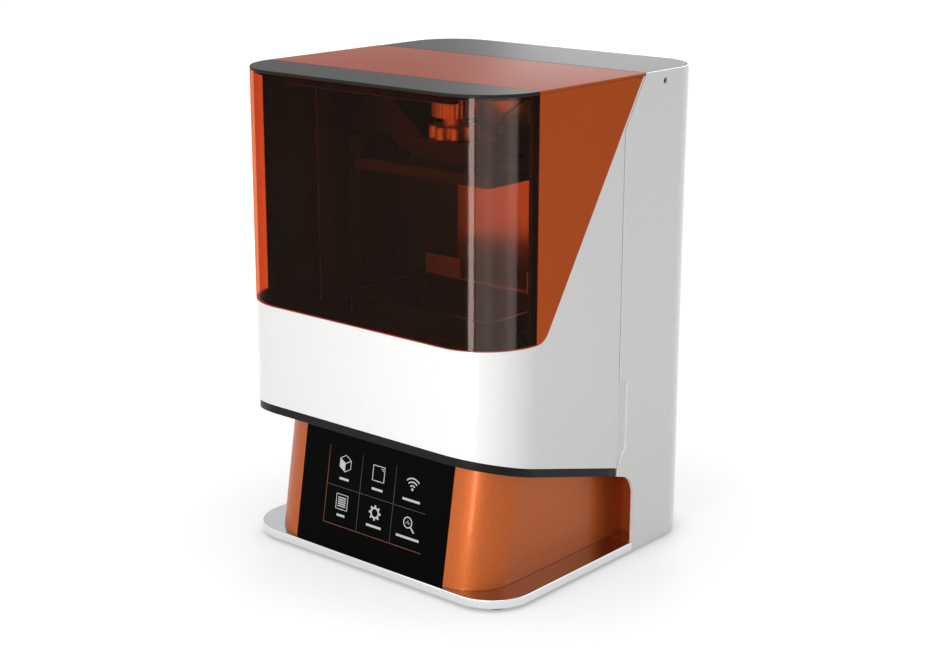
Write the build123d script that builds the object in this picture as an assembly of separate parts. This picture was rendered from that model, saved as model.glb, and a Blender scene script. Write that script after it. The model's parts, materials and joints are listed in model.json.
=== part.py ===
from build123d import *
from math import atan, cos, degrees, radians, sin
import os

# Resin printer with a flip-up amber hood, a rear column and a leaning lower housing.
# Millimetres. X runs to the right seen from the front, Y to the back, Z up.
# The origin is at the middle of the footprint, on the surface that the feet stand on.

os.makedirs("parts", exist_ok=True)

# Outer shell
shell_width = 380.0
shell_depth = 370.0
overall_height = 539.0
shell_wall = 4.0
front_corner_radius = 69.0
rear_corner_radius = 60.0
top_plate_thickness = 3.0

# Gaps between pieces
flat_gap = 0.3
shaft_clearance = 0.05
seam_gap = 1.4
hood_floor_gap = 0.4

# Hood
hood_edge_front_height = 168.4
hood_edge_slope = 0.27
window_sill_height = 282.0
window_corner_radius = 20.0
window_foot_behind_corner = 12.805
window_top_behind_seam = 32.0
window_strip = 3.2
roof_liner_thickness = 3.5
roof_liner_rear_margin = 5.0
side_liner_thickness = 3.4
side_liner_reach = 6.0
side_liner_edge_margin = 3.0
light_bar_side_margin = 2.0
light_bar_depth = 14.0
light_bar_height = 8.0
light_bar_from_front = 20.0

# Hood hinge
pivot_behind_seam = 70.8
pivot_below_top = 11.5
pin_radius = 3.0
pin_hole_margin = 0.4
pin_recess = 2.5
pin_head_radius = 5.0
pin_head_thickness = 2.5
arm_plate_thickness = 5.0
arm_plate_half_width = 6.0
arm_plate_eye_radius = 7.0
arm_plate_drop = 58.0
arm_plate_leg = 16.0
arm_plate_overlap = 42.0
bracket_thickness = 3.2
bracket_size = 34.0
bracket_top_margin = 5.5

# Column behind the hood
column_depth = 157.0
column_foot_behind_seam = 33.5
column_foot_radius = 30.0
cover_inset = 2.4
cover_gap = 0.8
grip_depth = 2.2
grip_width = 15.0
grip_top_height = 209.0
grip_bottom_height = 131.0
grip_tip_height = 113.0

# Base plate and feet
foot_height = 4.0
foot_radius = 15.0
foot_side_inset = 29.0
foot_front_inset = 32.0
foot_rear_inset = 45.0
plate_thickness = 10.0
plate_front_setback = 10.0
plate_corner_radius = 51.0

# Lower housing with its screen
housing_width = 320.0
housing_front_setback = 15.4
housing_corner_radius = 52.0
housing_lean = 0.1657
housing_wall = 3.0
housing_flange_behind_seam = 57.0
glass_width = 218.0
glass_thickness = 1.8
module_width = 166.0
module_thickness = 9.0
module_low_height = 20.0
module_high_height = 120.0

# Black trim along the hood's lower edge, the fixed rim plate inside it, and the tub above
rim_thickness = 9.5
trim_inset = 1.0
trim_gap = 0.5
rim_opening_side_margin = 2.1
rim_opening_front_margin = 17.1
rim_opening_rear_margin = 15.1
tub_gap = 4.5
tub_wall = 3.0

# Deck that carries the vat
deck_height = 257.0
deck_thickness = 6.0
screen_margin = 3.5
screen_thickness = 2.5

# Build platform and its clamp
platform_before_seam = 52.0
side_room = 93.0
platform_depth = 116.0
platform_thickness = 12.0
platform_corner_radius = 6.0
knob_below_roof = 25.2
print_gap = 1.0
stud_radius = 10.0
stud_height = 38.1
spindle_radius = 6.0
spindle_length = 15.0
head_width = 83.0
head_depth = 50.0
head_height = 23.8
nut_radius = 27.5
nut_height = 14.3
nut_lobe_radius = 7.0
nut_lobes = 8
neck_radius = 12.5
neck_height = 9.4
knob_radius = 24.5
knob_height = 22.5
knob_flute_radius = 2.2
knob_flutes = 28

# Arm from the lift to the platform
arm_thickness = 16.0
arm_root_height = 38.0
arm_root_below_head_top = 3.8
arm_flat_end = 82.0
arm_tip_height = 2.2
arm_tip_lift = 4.0
arm_step_near = 72.0
arm_step_far = 90.0

# Lift behind the left wall of the chamber
lift_plate_thickness = 3.0
lift_plate_from_wall = 12.0
lift_width = 108.0
lift_below_roof = 12.5
tower_depth = 24.0
tower_wall = 1.5
slot_margin = 2.0
slot_foot_margin = 2.5
slot_head_margin = 6.0
rail_width = 12.0
rail_thickness = 8.0
rail_low_height = 8.0
rail_head_margin = 6.5
carriage_width = 27.0
carriage_length = 45.0
carriage_front = 13.0
carriage_foot_gap = 1.2
bridge_thickness = 4.0
bridge_length = 60.0
screw_from_plate = 11.0
screw_behind_rail = 34.0
screw_radius = 4.0
screw_journal_radius = 2.5
screw_journal_depth = 14.0
nut_block_width = 20.0
nut_block_length = 22.0
nut_block_gap = 1.0
coupler_radius = 7.0
coupler_length = 22.0
bearing_height = 10.0
motor_size = 35.2
motor_length = 36.0
motor_boss_radius = 11.0
motor_boss_height = 2.0
motor_hole_margin = 2.0

# Vat
vat_height = 26.0
vat_wall = 5.5
vat_clearance = 3.5
vat_corner_radius = 20.0
film_lift = 0.7
film_thickness = 0.8
ear_length = 28.0
ear_width = 44.0
ear_thickness = 8.0
vat_knob_offset = 15.0
vat_knob_radius = 12.0
vat_knob_height = 15.5
vat_knob_flute_radius = 1.6
vat_knob_flutes = 12
vat_spindle_radius = 4.0
vat_ear_hole_margin = 0.4
tab_width = 50.0
tab_height = 23.0
tab_thickness = 1.5
tab_from_centre = 51.0

# Light engine under the screen
engine_depth = 98.0
engine_wall = 3.0
engine_flange = 8.0
engine_flange_thickness = 3.0
lens_lift = 36.0
lens_thickness = 4.0
led_board_thickness = 2.0
led_size = 6.0
led_height = 2.5
led_columns = 8
led_rows = 5
led_side_margin = 22.9
led_front_margin = 16.9
sink_base = 6.0
sink_fin_height = 18.0
sink_fin_thickness = 2.0
sink_fins = 14
sink_side_margin = 19.9
sink_front_margin = 10.9

# Cooling fans
fan_depth = 20.0
led_fan_size = 92.0
exhaust_fan_size = 80.0
fan_rim = 3.0
fan_hub_radius = 16.0
fan_shaft_radius = 2.0
fan_strut = 5.0
fan_plate = 3.0
fan_blades = 7
fan_blade_thickness = 1.6
fan_blade_pitch = 38.0
fan_tip_gap = 1.5
fan_end_gap = 1.5

# Chamber back wall and its bright panel
back_wall_thickness = 3.0
back_wall_from_platform = 12.0
back_wall_narrowing = 16.0
back_wall_shoulder_below_top = 77.0
back_wall_below_top = 9.0
panel_width = 106.0
panel_thickness = 2.5
panel_below_top = 40.0
panel_lift = 4.0
thumb_screw_radius = 6.0
thumb_screw_length = 8.0
thumb_screw_inset = 7.0
thumb_screw_drop = 32.0

# Rear panel with its vents, and the socket plate below it
rear_panel_side_margin = 5.0
rear_panel_above_fan = 68.0
rear_panel_low = 30.0
rear_panel_thickness = 2.0
rear_panel_margin = 8.0
rear_panel_slots = 11
rear_slot_height = 3.4
rear_slot_pitch = 6.4
socket_plate_height = 66.0
socket_height = 62.0
inlet_from_edge = 37.0
inlet_width = 27.0
inlet_height = 19.5
inlet_length = 24.0
inlet_wall = 1.8
inlet_floor = 4.0
inlet_pin_length = 14.0
inlet_pin_width = 2.0
inlet_pin_height = 4.0
inlet_pin_pitch = 7.0
inlet_pin_raise = 3.5
switch_from_edge = 73.0
switch_width = 13.0
switch_height = 19.5
switch_length = 20.0
switch_wall = 1.2
rocker_gap = 0.4
rocker_tilt = 7.0
rocker_depth = 8.0
rocker_bulge = 1.2
rocker_pin_radius = 1.2
network_from_edge = 131.0
network_width = 15.0
network_height = 13.0
network_length = 16.0
network_wall = 1.5
usb_from_edge = 161.0
usb_width = 14.5
usb_height = 7.5
usb_length = 15.0
usb_wall = 0.8
usb_tongue_thickness = 1.8
exhaust_fan_height = 392.0

# Electronics in the column
supply_width = 110.0
supply_depth = 52.0
supply_height = 160.0
supply_behind_housing = 2.0
board_width = 140.0
board_height = 110.0
board_thickness = 1.6
board_standoff = 8.0
board_low_height = 300.0
standoff_radius = 3.0
standoff_inset = 6.0
board_chips = 4
chip_size = 16.0
chip_height = 3.0

# Places worked out from the sizes above
half_width = shell_width / 2
front = -shell_depth / 2
rear = shell_depth / 2
top = overall_height
under_top = top - top_plate_thickness
inner_half = half_width - shell_wall
plate_bottom = foot_height
plate_top = plate_bottom + plate_thickness
seam = rear - column_depth
column_front = seam + seam_gap
column_foot = seam + column_foot_behind_seam
window_top = seam + window_top_behind_seam
hood_top_rear = window_top + window_strip
cover_front = hood_top_rear + seam_gap
corner_end = front + front_corner_radius
window_foot = corner_end + window_foot_behind_corner
window_slope = (window_top - window_foot) / (top - window_sill_height)
pivot_y = seam + pivot_behind_seam
pivot_z = top - pivot_below_top
housing_half = housing_width / 2
housing_front = front + housing_front_setback
housing_flange = seam + housing_flange_behind_seam
housing_angle = degrees(atan(housing_lean))
platform_y = seam - platform_before_seam
platform_width = shell_width - 2 * side_room
roof = under_top - roof_liner_thickness
knob_top = roof - knob_below_roof
knob_low = knob_top - knob_height
neck_low = knob_low - neck_height
stud_top = neck_low - flat_gap
platform_top = stud_top - stud_height
platform_bottom = platform_top - platform_thickness
film_top = deck_height + film_lift + film_thickness
platform_travel = platform_bottom - film_top - print_gap
back_wall_front = platform_y + platform_depth / 2 + back_wall_from_platform
back_wall_rear = back_wall_front + back_wall_thickness
deck_bottom = deck_height - deck_thickness
deck_half = inner_half - tub_gap
deck_front = front + shell_wall + tub_gap
deck_radius = front_corner_radius - shell_wall - tub_gap
liner_face = inner_half - flat_gap
arm_plate_outer = liner_face - side_liner_thickness
arm_plate_inner = arm_plate_outer - arm_plate_thickness
lift_plate_left = -inner_half + lift_plate_from_wall
lift_plate_right = lift_plate_left + lift_plate_thickness
lift_front = back_wall_front - lift_width
lift_top = roof - lift_below_roof
tower_face = lift_plate_left + tower_depth
screw_x = lift_plate_right + screw_from_plate
screw_y = platform_y + screw_behind_rail
carriage_face = lift_plate_right + carriage_front
bridge_face = carriage_face + bridge_thickness
head_top = platform_top + head_height
arm_top = head_top + arm_root_height - arm_root_below_head_top
arm_root_middle = arm_top - arm_root_height / 2
slot_low = arm_top - arm_root_height - platform_travel - slot_foot_margin
slot_high = arm_top + slot_head_margin
rail_high = arm_root_middle + carriage_length / 2 + rail_head_margin
screen_half = platform_width / 2 + screen_margin
screen_half_depth = platform_depth / 2 + screen_margin
engine_half = screen_half - 2 * flat_gap
engine_half_depth = screen_half_depth - 2 * flat_gap
sink_half = engine_half - sink_side_margin
sink_half_depth = engine_half_depth - sink_front_margin
engine_top = deck_height - screen_thickness
engine_low = engine_top - engine_depth
sink_top = engine_low - led_board_thickness
sink_low = sink_top - sink_base - sink_fin_height
vat_top = deck_height + vat_height
vat_inner_half = platform_width / 2 + vat_clearance
vat_inner_half_depth = platform_depth / 2 + vat_clearance
vat_half = vat_inner_half + vat_wall
vat_half_depth = vat_inner_half_depth + vat_wall
vat_knob_x = vat_half + vat_knob_offset
ear_top = deck_height + ear_thickness
rear_panel_front = rear - rear_panel_thickness
rear_panel_half = half_width - rear_corner_radius - rear_panel_side_margin
rear_panel_high = exhaust_fan_height + rear_panel_above_fan
socket_plate_high = rear_panel_low + socket_plate_height
inlet_x = -rear_panel_half + inlet_from_edge
switch_x = -rear_panel_half + switch_from_edge
network_x = -rear_panel_half + network_from_edge
usb_x = -rear_panel_half + usb_from_edge
light_bar_half = half_width - front_corner_radius - light_bar_side_margin


def hood_edge(y):
    """Height of the hood's lower edge, which falls towards the back."""
    return hood_edge_front_height - hood_edge_slope * (y - front)


def rim_top(y):
    return hood_edge(y) - hood_floor_gap


def rim_bottom(y):
    return rim_top(y) - rim_thickness


def slanted_y(y_at_top, z):
    """Place on a line that leans with the side window, from its place at the top."""
    return y_at_top - window_slope * (top - z)


def slanted_z(y_at_top, y):
    return top - (y_at_top - y) / window_slope


def rounded_plan(half_x, y_low, y_high, front_radius, rear_radius=0.0):
    """Plan outline with its front and rear corners rounded separately."""
    outline = Pos(0, (y_low + y_high) / 2) * Rectangle(2 * half_x, y_high - y_low)
    if front_radius > 0:
        outline = fillet(outline.vertices().sort_by(Axis.Y)[:2], front_radius)
    if rear_radius > 0:
        outline = fillet(outline.vertices().sort_by(Axis.Y)[-2:], rear_radius)
    return outline


def standing(outline, low, high):
    """A plan outline drawn up from one height to another."""
    return Pos(0, 0, low) * extrude(outline, high - low)


def across(points, half_x=half_width + 20.0):
    """A side profile, given as Y and Z, drawn across the whole width."""
    profile = Plane.YZ * make_face(Polyline(*points, close=True))
    return extrude(profile, half_x, both=True)


def block(x_low, x_high, y_low, y_high, z_low, z_high):
    """A plain box between two corners."""
    centre = Pos((x_low + x_high) / 2, (y_low + y_high) / 2, (z_low + z_high) / 2)
    return centre * Box(x_high - x_low, y_high - y_low, z_high - z_low)


def upright(radius, x, y, low, high):
    return Pos(x, y, (low + high) / 2) * Cylinder(radius, high - low)


def along_x(radius, x_low, x_high, y, z):
    return Pos((x_low + x_high) / 2, y, z) * Rot(0, 90, 0) * Cylinder(radius, x_high - x_low)


def along_y(radius, x, y_low, y_high, z):
    return Pos(x, (y_low + y_high) / 2, z) * Rot(90, 0, 0) * Cylinder(radius, y_high - y_low)


def mirrored(piece):
    """A piece with its twin on the other side."""
    return piece + mirror(piece, Plane.YZ)


def fluted(radius, height, cut_radius, count, x, y, low):
    """An upright knob with round flutes cut into its rim."""
    body = upright(radius, x, y, low, low + height)
    cutters = [
        Pos(x, y) * Rot(0, 0, 360 * step / count) * upright(cut_radius, radius, 0, low, low + height)
        for step in range(count)
    ]
    return body - cutters


def plate_sections(inset):
    """Plan of the base plate: full width in front, inside the column behind."""
    front_part = rounded_plan(half_width - inset, front + plate_front_setback + inset,
                              column_foot - flat_gap, plate_corner_radius - inset)
    rear_part = rounded_plan(inner_half - flat_gap, seam, rear - shell_wall - flat_gap,
                             0.0, rear_corner_radius - shell_wall)
    return front_part + rear_part


def make_base_plate():
    return standing(plate_sections(0.0), plate_bottom, plate_top)


def make_feet():
    foot_x = half_width - foot_side_inset
    places = [front + foot_front_inset + plate_front_setback, rear - foot_rear_inset]
    return mirrored(Part() + [upright(foot_radius, foot_x, y, 0, foot_height) for y in places])


def shell_ring():
    """Outer walls of hood and column together, before they are parted at the seam."""
    outer = rounded_plan(half_width, front, rear, front_corner_radius, rear_corner_radius)
    inner = rounded_plan(inner_half, front + shell_wall, rear - shell_wall,
                         front_corner_radius - shell_wall, rear_corner_radius - shell_wall)
    return standing(outer - inner, plate_bottom, top)


def side_window_region():
    """Side view of the amber side window, with its rounded lower corner."""
    tip = slanted_y(window_top, window_sill_height)
    sketch = make_face(Polyline((corner_end, window_sill_height), (tip, window_sill_height),
                                (slanted_y(window_top, under_top), under_top),
                                (corner_end, under_top), close=True))
    corner = sketch.vertices().sort_by_distance((tip, window_sill_height, 0))[0]
    return extrude(Plane.YZ * fillet(corner, window_corner_radius), half_width + seam_gap, both=True)


def front_window_region():
    reach = half_width + seam_gap
    return block(-reach, reach, front - seam_gap, corner_end, window_sill_height, under_top)


def make_hood_shell():
    outline = across([(front - seam_gap, hood_edge(front - seam_gap)), (seam, hood_edge(seam)),
                      (seam, slanted_z(hood_top_rear, seam)),
                      (slanted_y(hood_top_rear, under_top), under_top), (front - seam_gap, under_top)])
    return (shell_ring() & outline) - side_window_region() - front_window_region()


def make_front_window():
    return shell_ring() & front_window_region()


def make_side_windows():
    return shell_ring() & side_window_region()


def top_outline(inset, y_high):
    return rounded_plan(half_width - inset, front + inset, y_high, front_corner_radius - inset)


def make_top_front_band():
    plate = standing(top_outline(0.0, hood_top_rear), under_top, top)
    return plate & block(-half_width, half_width, front, corner_end, under_top, top)


def make_top_orange_panel():
    profile = across([(corner_end, under_top), (slanted_y(hood_top_rear, under_top), under_top),
                      (hood_top_rear, top), (corner_end, top)])
    return profile & block(-half_width, half_width, front, rear, under_top, top)


def make_roof_liner():
    rear_edge = hood_top_rear - roof_liner_rear_margin
    outline = top_outline(shell_wall + flat_gap, rear_edge)
    return standing(outline, roof, under_top)


def make_side_liners():
    rear_y = seam - side_liner_edge_margin
    rear_top = hood_top_rear - side_liner_edge_margin
    front_y = corner_end - side_liner_reach
    profile = across([(front_y, window_sill_height), (rear_y, window_sill_height),
                      (rear_y, slanted_z(rear_top, rear_y)), (slanted_y(rear_top, roof), roof),
                      (front_y, roof)])
    return mirrored(profile & block(arm_plate_outer, liner_face, front, rear, 0, top))


def make_light_bar():
    y = front + light_bar_from_front + light_bar_depth / 2
    outline = fillet((Pos(0, y) * Rectangle(2 * light_bar_half, light_bar_depth)).vertices(),
                     light_bar_depth / 2 - flat_gap)
    return standing(outline, roof - light_bar_height, roof)


def make_arm_plates():
    """Steel plates that carry the hood, bent down and forward to pass under the top cover."""
    low = pivot_z - arm_plate_drop
    leg = block(arm_plate_inner, arm_plate_outer, pivot_y - arm_plate_half_width,
                pivot_y + arm_plate_half_width, low, pivot_z)
    foot = block(arm_plate_inner, arm_plate_outer, seam - arm_plate_overlap,
                 pivot_y + arm_plate_half_width, low, low + arm_plate_leg)
    eye = along_x(arm_plate_eye_radius, arm_plate_inner, arm_plate_outer, pivot_y, pivot_z)
    bore = along_x(pin_radius + shaft_clearance, arm_plate_inner, arm_plate_outer, pivot_y, pivot_z)
    return mirrored(leg + foot + eye - bore)


def make_hinge_pins():
    head = along_x(pin_head_radius, arm_plate_inner - flat_gap - pin_head_thickness,
                   arm_plate_inner - flat_gap, pivot_y, pivot_z)
    shank = along_x(pin_radius, arm_plate_inner - flat_gap, half_width - pin_recess, pivot_y, pivot_z)
    return mirrored(head + shank)


def make_hinge_brackets():
    y_low = pivot_y - bracket_size / 2
    z_high = top - bracket_top_margin
    plate = block(inner_half - bracket_thickness, inner_half, y_low, y_low + bracket_size,
                  z_high - bracket_size, z_high)
    return mirrored(plate - along_x(pin_radius, arm_plate_outer, half_width, pivot_y, pivot_z))


def column_outline():
    """Side view of the column, with the round cut that leaves room over the base plate."""
    corner_z = rim_bottom(column_foot)
    sketch = make_face(Polyline(
        (column_foot, plate_bottom), (column_foot, corner_z), (column_front, rim_bottom(column_front)),
        (column_front, slanted_z(cover_front, column_front)), (cover_front, top),
        (rear + seam_gap, top), (rear + seam_gap, plate_bottom), close=True))
    corner = sketch.vertices().sort_by_distance((column_foot, corner_z, 0))[0]
    return extrude(Plane.YZ * fillet(corner, column_foot_radius), half_width + seam_gap, both=True)


def make_rear_shell():
    shell = shell_ring() & column_outline()
    seat = rounded_plan(half_width - cover_inset + cover_gap, cover_front - seam_gap,
                        rear - cover_inset + cover_gap, 0.0, rear_corner_radius - cover_inset + cover_gap)
    shell -= standing(seat, under_top, top)
    shell -= along_x(pin_radius + pin_hole_margin, -half_width, half_width, pivot_y, pivot_z)
    inner_x = rear_panel_half - rear_panel_margin
    shell -= block(-rear_panel_half, rear_panel_half, rear_panel_front, rear, rear_panel_low,
                   rear_panel_high)
    shell -= block(-inner_x, inner_x, rear - 2 * shell_wall, rear, rear_panel_low + rear_panel_margin,
                   rear_panel_high - rear_panel_margin)
    back_of_grip = column_front + grip_width
    grip = across([(seam, grip_top_height), (back_of_grip, grip_top_height),
                   (back_of_grip, grip_bottom_height), (column_front, grip_tip_height),
                   (seam, grip_tip_height)])
    pocket = grip & block(half_width - grip_depth, half_width, seam, rear, 0, top)
    return shell - mirrored(pocket)


def make_top_cover():
    outline = rounded_plan(half_width - cover_inset, cover_front, rear - cover_inset, 0.0,
                           rear_corner_radius - cover_inset)
    return standing(outline, under_top, top)


def housing_prism(inset, height):
    """The lower housing's outline drawn up along its lean."""
    outline = rounded_plan(housing_half - inset, housing_front + inset, housing_flange + inset,
                           housing_corner_radius - inset)
    along = Vector(0, housing_lean, 1)
    return Pos(0, 0, plate_top) * extrude(outline, height * along.length, dir=along)


def below_rim(y_low, y_high):
    return across([(y_low, plate_top), (y_high, plate_top), (y_high, rim_bottom(y_high)),
                   (y_low, rim_bottom(y_low))])


screen_plane = Plane(origin=(0, housing_front, plate_top), x_dir=(1, 0, 0),
                     z_dir=(0, -cos(radians(housing_angle)), sin(radians(housing_angle))))
full_rise = hood_edge_front_height


def make_lower_housing():
    walls = housing_prism(0.0, full_rise) - housing_prism(housing_wall, full_rise)
    walls &= below_rim(front, housing_flange)
    flange = block(housing_half - housing_wall, inner_half - flat_gap, housing_flange - housing_wall,
                   housing_flange, plate_top, full_rise)
    flange &= below_rim(front, housing_flange)
    recess = screen_plane * block(-glass_width / 2 - flat_gap, glass_width / 2 + flat_gap,
                                  -housing_wall, full_rise, -glass_thickness, housing_wall)
    opening = screen_plane * block(-module_width / 2 - flat_gap, module_width / 2 + flat_gap,
                                   module_low_height - flat_gap, module_high_height + flat_gap,
                                   -2 * housing_wall, 0)
    return walls + mirrored(flange) - recess - opening


def make_display_glass():
    glass = screen_plane * block(-glass_width / 2, glass_width / 2, 0, full_rise, -glass_thickness, 0)
    return glass & below_rim(front, housing_flange)


def make_display_module():
    return screen_plane * block(-module_width / 2, module_width / 2, module_low_height,
                                module_high_height, -glass_thickness - module_thickness, -glass_thickness)


def make_hood_trim():
    outer = rounded_plan(half_width - trim_inset, front + trim_inset, seam,
                         front_corner_radius - trim_inset)
    inner = rounded_plan(deck_half + trim_gap, deck_front - trim_gap, seam, deck_radius + trim_gap)
    slab = across([(front, hood_edge(front) - rim_thickness), (seam, hood_edge(seam) - rim_thickness),
                   (seam, hood_edge(seam)), (front, hood_edge(front))])
    return standing(outer - inner, 0, top) & slab


def make_rim_plate():
    front_part = rounded_plan(deck_half, deck_front, housing_flange, deck_radius)
    rear_part = rounded_plan(inner_half - flat_gap, column_front, housing_flange, 0.0)
    opening_half = engine_half + engine_flange + rim_opening_side_margin
    opening_front = platform_y - engine_half_depth - engine_flange - rim_opening_front_margin
    opening_rear = platform_y + engine_half_depth + engine_flange + rim_opening_rear_margin
    opening = block(-opening_half, opening_half, opening_front, opening_rear, 0, top)
    slab = across([(front, rim_bottom(front)), (housing_flange, rim_bottom(housing_flange)),
                   (housing_flange, rim_top(housing_flange)), (front, rim_top(front))])
    return (standing(front_part + rear_part, 0, top) & slab) - opening


def make_tub():
    outer = rounded_plan(deck_half, deck_front, back_wall_front, deck_radius)
    inner = rounded_plan(deck_half - tub_wall, deck_front + tub_wall, back_wall_front,
                         deck_radius - tub_wall)
    above_rim = across([(front, rim_top(front)), (rear, rim_top(rear)), (rear, deck_bottom),
                        (front, deck_bottom)])
    return standing(outer - inner, 0, deck_bottom) & above_rim


def make_deck():
    deck = standing(rounded_plan(deck_half, deck_front, back_wall_front, deck_radius), deck_bottom,
                    deck_height)
    deck -= block(-screen_half, screen_half, platform_y - screen_half_depth,
                  platform_y + screen_half_depth, deck_bottom, deck_height)
    deck -= upright(motor_boss_radius + motor_hole_margin, screw_x, screw_y, deck_bottom, deck_height)
    for side in (-1, 1):
        deck -= upright(vat_spindle_radius, side * vat_knob_x, platform_y, deck_bottom, deck_height)
    return deck


def make_mask_screen():
    half = screen_half - flat_gap
    half_depth = screen_half_depth - flat_gap
    return block(-half, half, platform_y - half_depth, platform_y + half_depth, engine_top, deck_height)


def engine_block(inset, low, high):
    """A box that shares the light engine's plan, drawn in by an inset."""
    half_depth = engine_half_depth - inset
    return block(-engine_half + inset, engine_half - inset, platform_y - half_depth,
                 platform_y + half_depth, low, high)


def make_engine_housing():
    walls = engine_block(0.0, engine_low, engine_top)
    walls += engine_block(-engine_flange, deck_bottom - engine_flange_thickness, deck_bottom)
    return walls - engine_block(engine_wall, engine_low, engine_top)


def make_lens_plate():
    low = engine_low + lens_lift
    return engine_block(engine_wall, low, low + lens_thickness)


def make_led_board():
    board = engine_block(0.0, sink_top, engine_low)
    half = led_size / 2
    reach = engine_half - led_side_margin
    reach_depth = engine_half_depth - led_front_margin
    for column in range(led_columns):
        for row in range(led_rows):
            x = -reach + 2 * reach * column / (led_columns - 1)
            y = platform_y - reach_depth + 2 * reach_depth * row / (led_rows - 1)
            board += block(x - half, x + half, y - half, y + half, engine_low, engine_low + led_height)
    return board


def make_heat_sink():
    y_low = platform_y - sink_half_depth
    y_high = platform_y + sink_half_depth
    sink = block(-sink_half, sink_half, y_low, y_high, sink_top - sink_base, sink_top)
    pitch = (2 * sink_half - sink_fin_thickness) / (sink_fins - 1)
    for fin in range(sink_fins):
        x = -sink_half + pitch * fin
        sink += block(x, x + sink_fin_thickness, y_low, y_high, sink_low, sink_top - sink_base)
    return sink


def fan_frame(size):
    """A square fan frame lying flat, its hub plate held by four struts at the bottom."""
    frame = Box(size, size, fan_depth) - Cylinder(size / 2 - fan_rim, fan_depth)
    plate_z = -fan_depth / 2 + fan_plate / 2
    frame += Pos(0, 0, plate_z) * Cylinder(fan_hub_radius, fan_plate)
    reach = size / 2 - fan_rim / 2
    for turn in range(4):
        strut = block(0, reach, -fan_strut / 2, fan_strut / 2, -fan_depth / 2, -fan_depth / 2 + fan_plate)
        frame += Rot(0, 0, 90 * turn) * strut
    shaft_top = fan_depth / 2 - fan_end_gap - fan_plate
    return frame + upright(fan_shaft_radius, 0, 0, -fan_depth / 2 + fan_plate, shaft_top)


def fan_rotor(size):
    """Hub and pitched blades that turn on the frame's shaft."""
    low = -fan_depth / 2 + fan_plate + fan_end_gap
    high = fan_depth / 2 - fan_end_gap
    tip = size / 2 - fan_rim - fan_tip_gap
    hub = upright(fan_hub_radius, 0, 0, low, high)
    blade_height = high - low
    blade = Pos((tip + fan_hub_radius) / 2 - fan_end_gap, 0, (low + high) / 2) * Rot(fan_blade_pitch, 0, 0) * Box(
        tip - fan_hub_radius, fan_blade_thickness, blade_height)
    rotor = hub
    for step in range(fan_blades):
        rotor += Rot(0, 0, 360 * step / fan_blades) * blade
    return rotor - upright(fan_shaft_radius + shaft_clearance, 0, 0, low, high - fan_plate)


def led_fan_place():
    return Pos(0, platform_y, sink_low - fan_depth / 2)


def exhaust_fan_place():
    return Pos(0, rear_panel_front - fan_depth / 2, exhaust_fan_height) * Rot(90, 0, 0)


def make_back_wall():
    """Sheet behind the chamber: full width below, narrow above where the hood's arm plates pass."""
    shoulder = top - back_wall_shoulder_below_top
    low = rim_top(back_wall_front)
    wide = block(-inner_half + flat_gap, inner_half - flat_gap, back_wall_front, back_wall_rear,
                 low, shoulder)
    narrow_half = inner_half - back_wall_narrowing
    narrow = block(-narrow_half, narrow_half, back_wall_front, back_wall_rear, shoulder,
                   top - back_wall_below_top)
    return wide + narrow


def make_bright_panel():
    return block(-panel_width / 2, panel_width / 2, back_wall_front - panel_thickness, back_wall_front,
                 deck_height + panel_lift, top - panel_below_top)


def make_thumb_screws():
    x = panel_width / 2 - thumb_screw_inset
    z = top - panel_below_top - thumb_screw_drop
    high = back_wall_front - panel_thickness
    return mirrored(along_y(thumb_screw_radius, x, high - thumb_screw_length, high, z))


def make_lift_plate():
    plate = block(lift_plate_left, lift_plate_right, lift_front, back_wall_front, deck_height, lift_top)
    bearing = block(lift_plate_right, carriage_face - flat_gap, screw_y - nut_block_width / 2,
                    screw_y + nut_block_width / 2, lift_top - tower_wall - bearing_height,
                    lift_top - tower_wall)
    journal = upright(screw_journal_radius + shaft_clearance, screw_x, screw_y, deck_height, lift_top)
    return plate + (bearing - journal)


def make_tower_cover():
    """Folded sheet round the lift, with a tall slot for the arm."""
    box = block(lift_plate_right, tower_face, lift_front, back_wall_front, deck_height, lift_top)
    room = block(lift_plate_right, tower_face - tower_wall, lift_front + tower_wall, back_wall_front,
                 deck_height, lift_top - tower_wall)
    half_slot = arm_thickness / 2 + slot_margin
    slot = block(tower_face - tower_wall, tower_face, platform_y - half_slot, platform_y + half_slot,
                 slot_low, slot_high)
    return box - room - slot


def make_rail():
    return block(lift_plate_right, lift_plate_right + rail_thickness, platform_y - rail_width / 2,
                 platform_y + rail_width / 2, deck_height + rail_low_height, rail_high)


def make_carriage():
    body = block(lift_plate_right + carriage_foot_gap, carriage_face, platform_y - carriage_width / 2,
                 platform_y + carriage_width / 2, arm_root_middle - carriage_length / 2,
                 arm_root_middle + carriage_length / 2)
    groove = block(lift_plate_right, lift_plate_right + rail_thickness + flat_gap,
                   platform_y - rail_width / 2 - flat_gap, platform_y + rail_width / 2 + flat_gap,
                   deck_height, lift_top)
    return body - groove


def make_carriage_bridge():
    nut_low = screw_y - nut_block_width / 2
    nut_high = screw_y + nut_block_width / 2
    plate = block(carriage_face, bridge_face, platform_y - carriage_width / 2, nut_high,
                  arm_root_middle - bridge_length / 2, arm_root_middle + bridge_length / 2)
    nut = block(lift_plate_right + nut_block_gap, carriage_face, nut_low, nut_high,
                arm_root_middle - nut_block_length / 2, arm_root_middle + nut_block_length / 2)
    bore = upright(screw_radius + shaft_clearance, screw_x, screw_y, deck_height, lift_top)
    return plate + nut - bore


def make_lead_screw():
    thread_low = deck_height + coupler_length
    thread_high = lift_top - tower_wall - bearing_height - flat_gap
    screw = upright(screw_radius, screw_x, screw_y, thread_low, thread_high)
    screw += upright(screw_journal_radius, screw_x, screw_y, deck_bottom - screw_journal_depth, thread_low)
    screw += upright(screw_journal_radius, screw_x, screw_y, thread_high, lift_top - tower_wall - flat_gap)
    return screw


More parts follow.
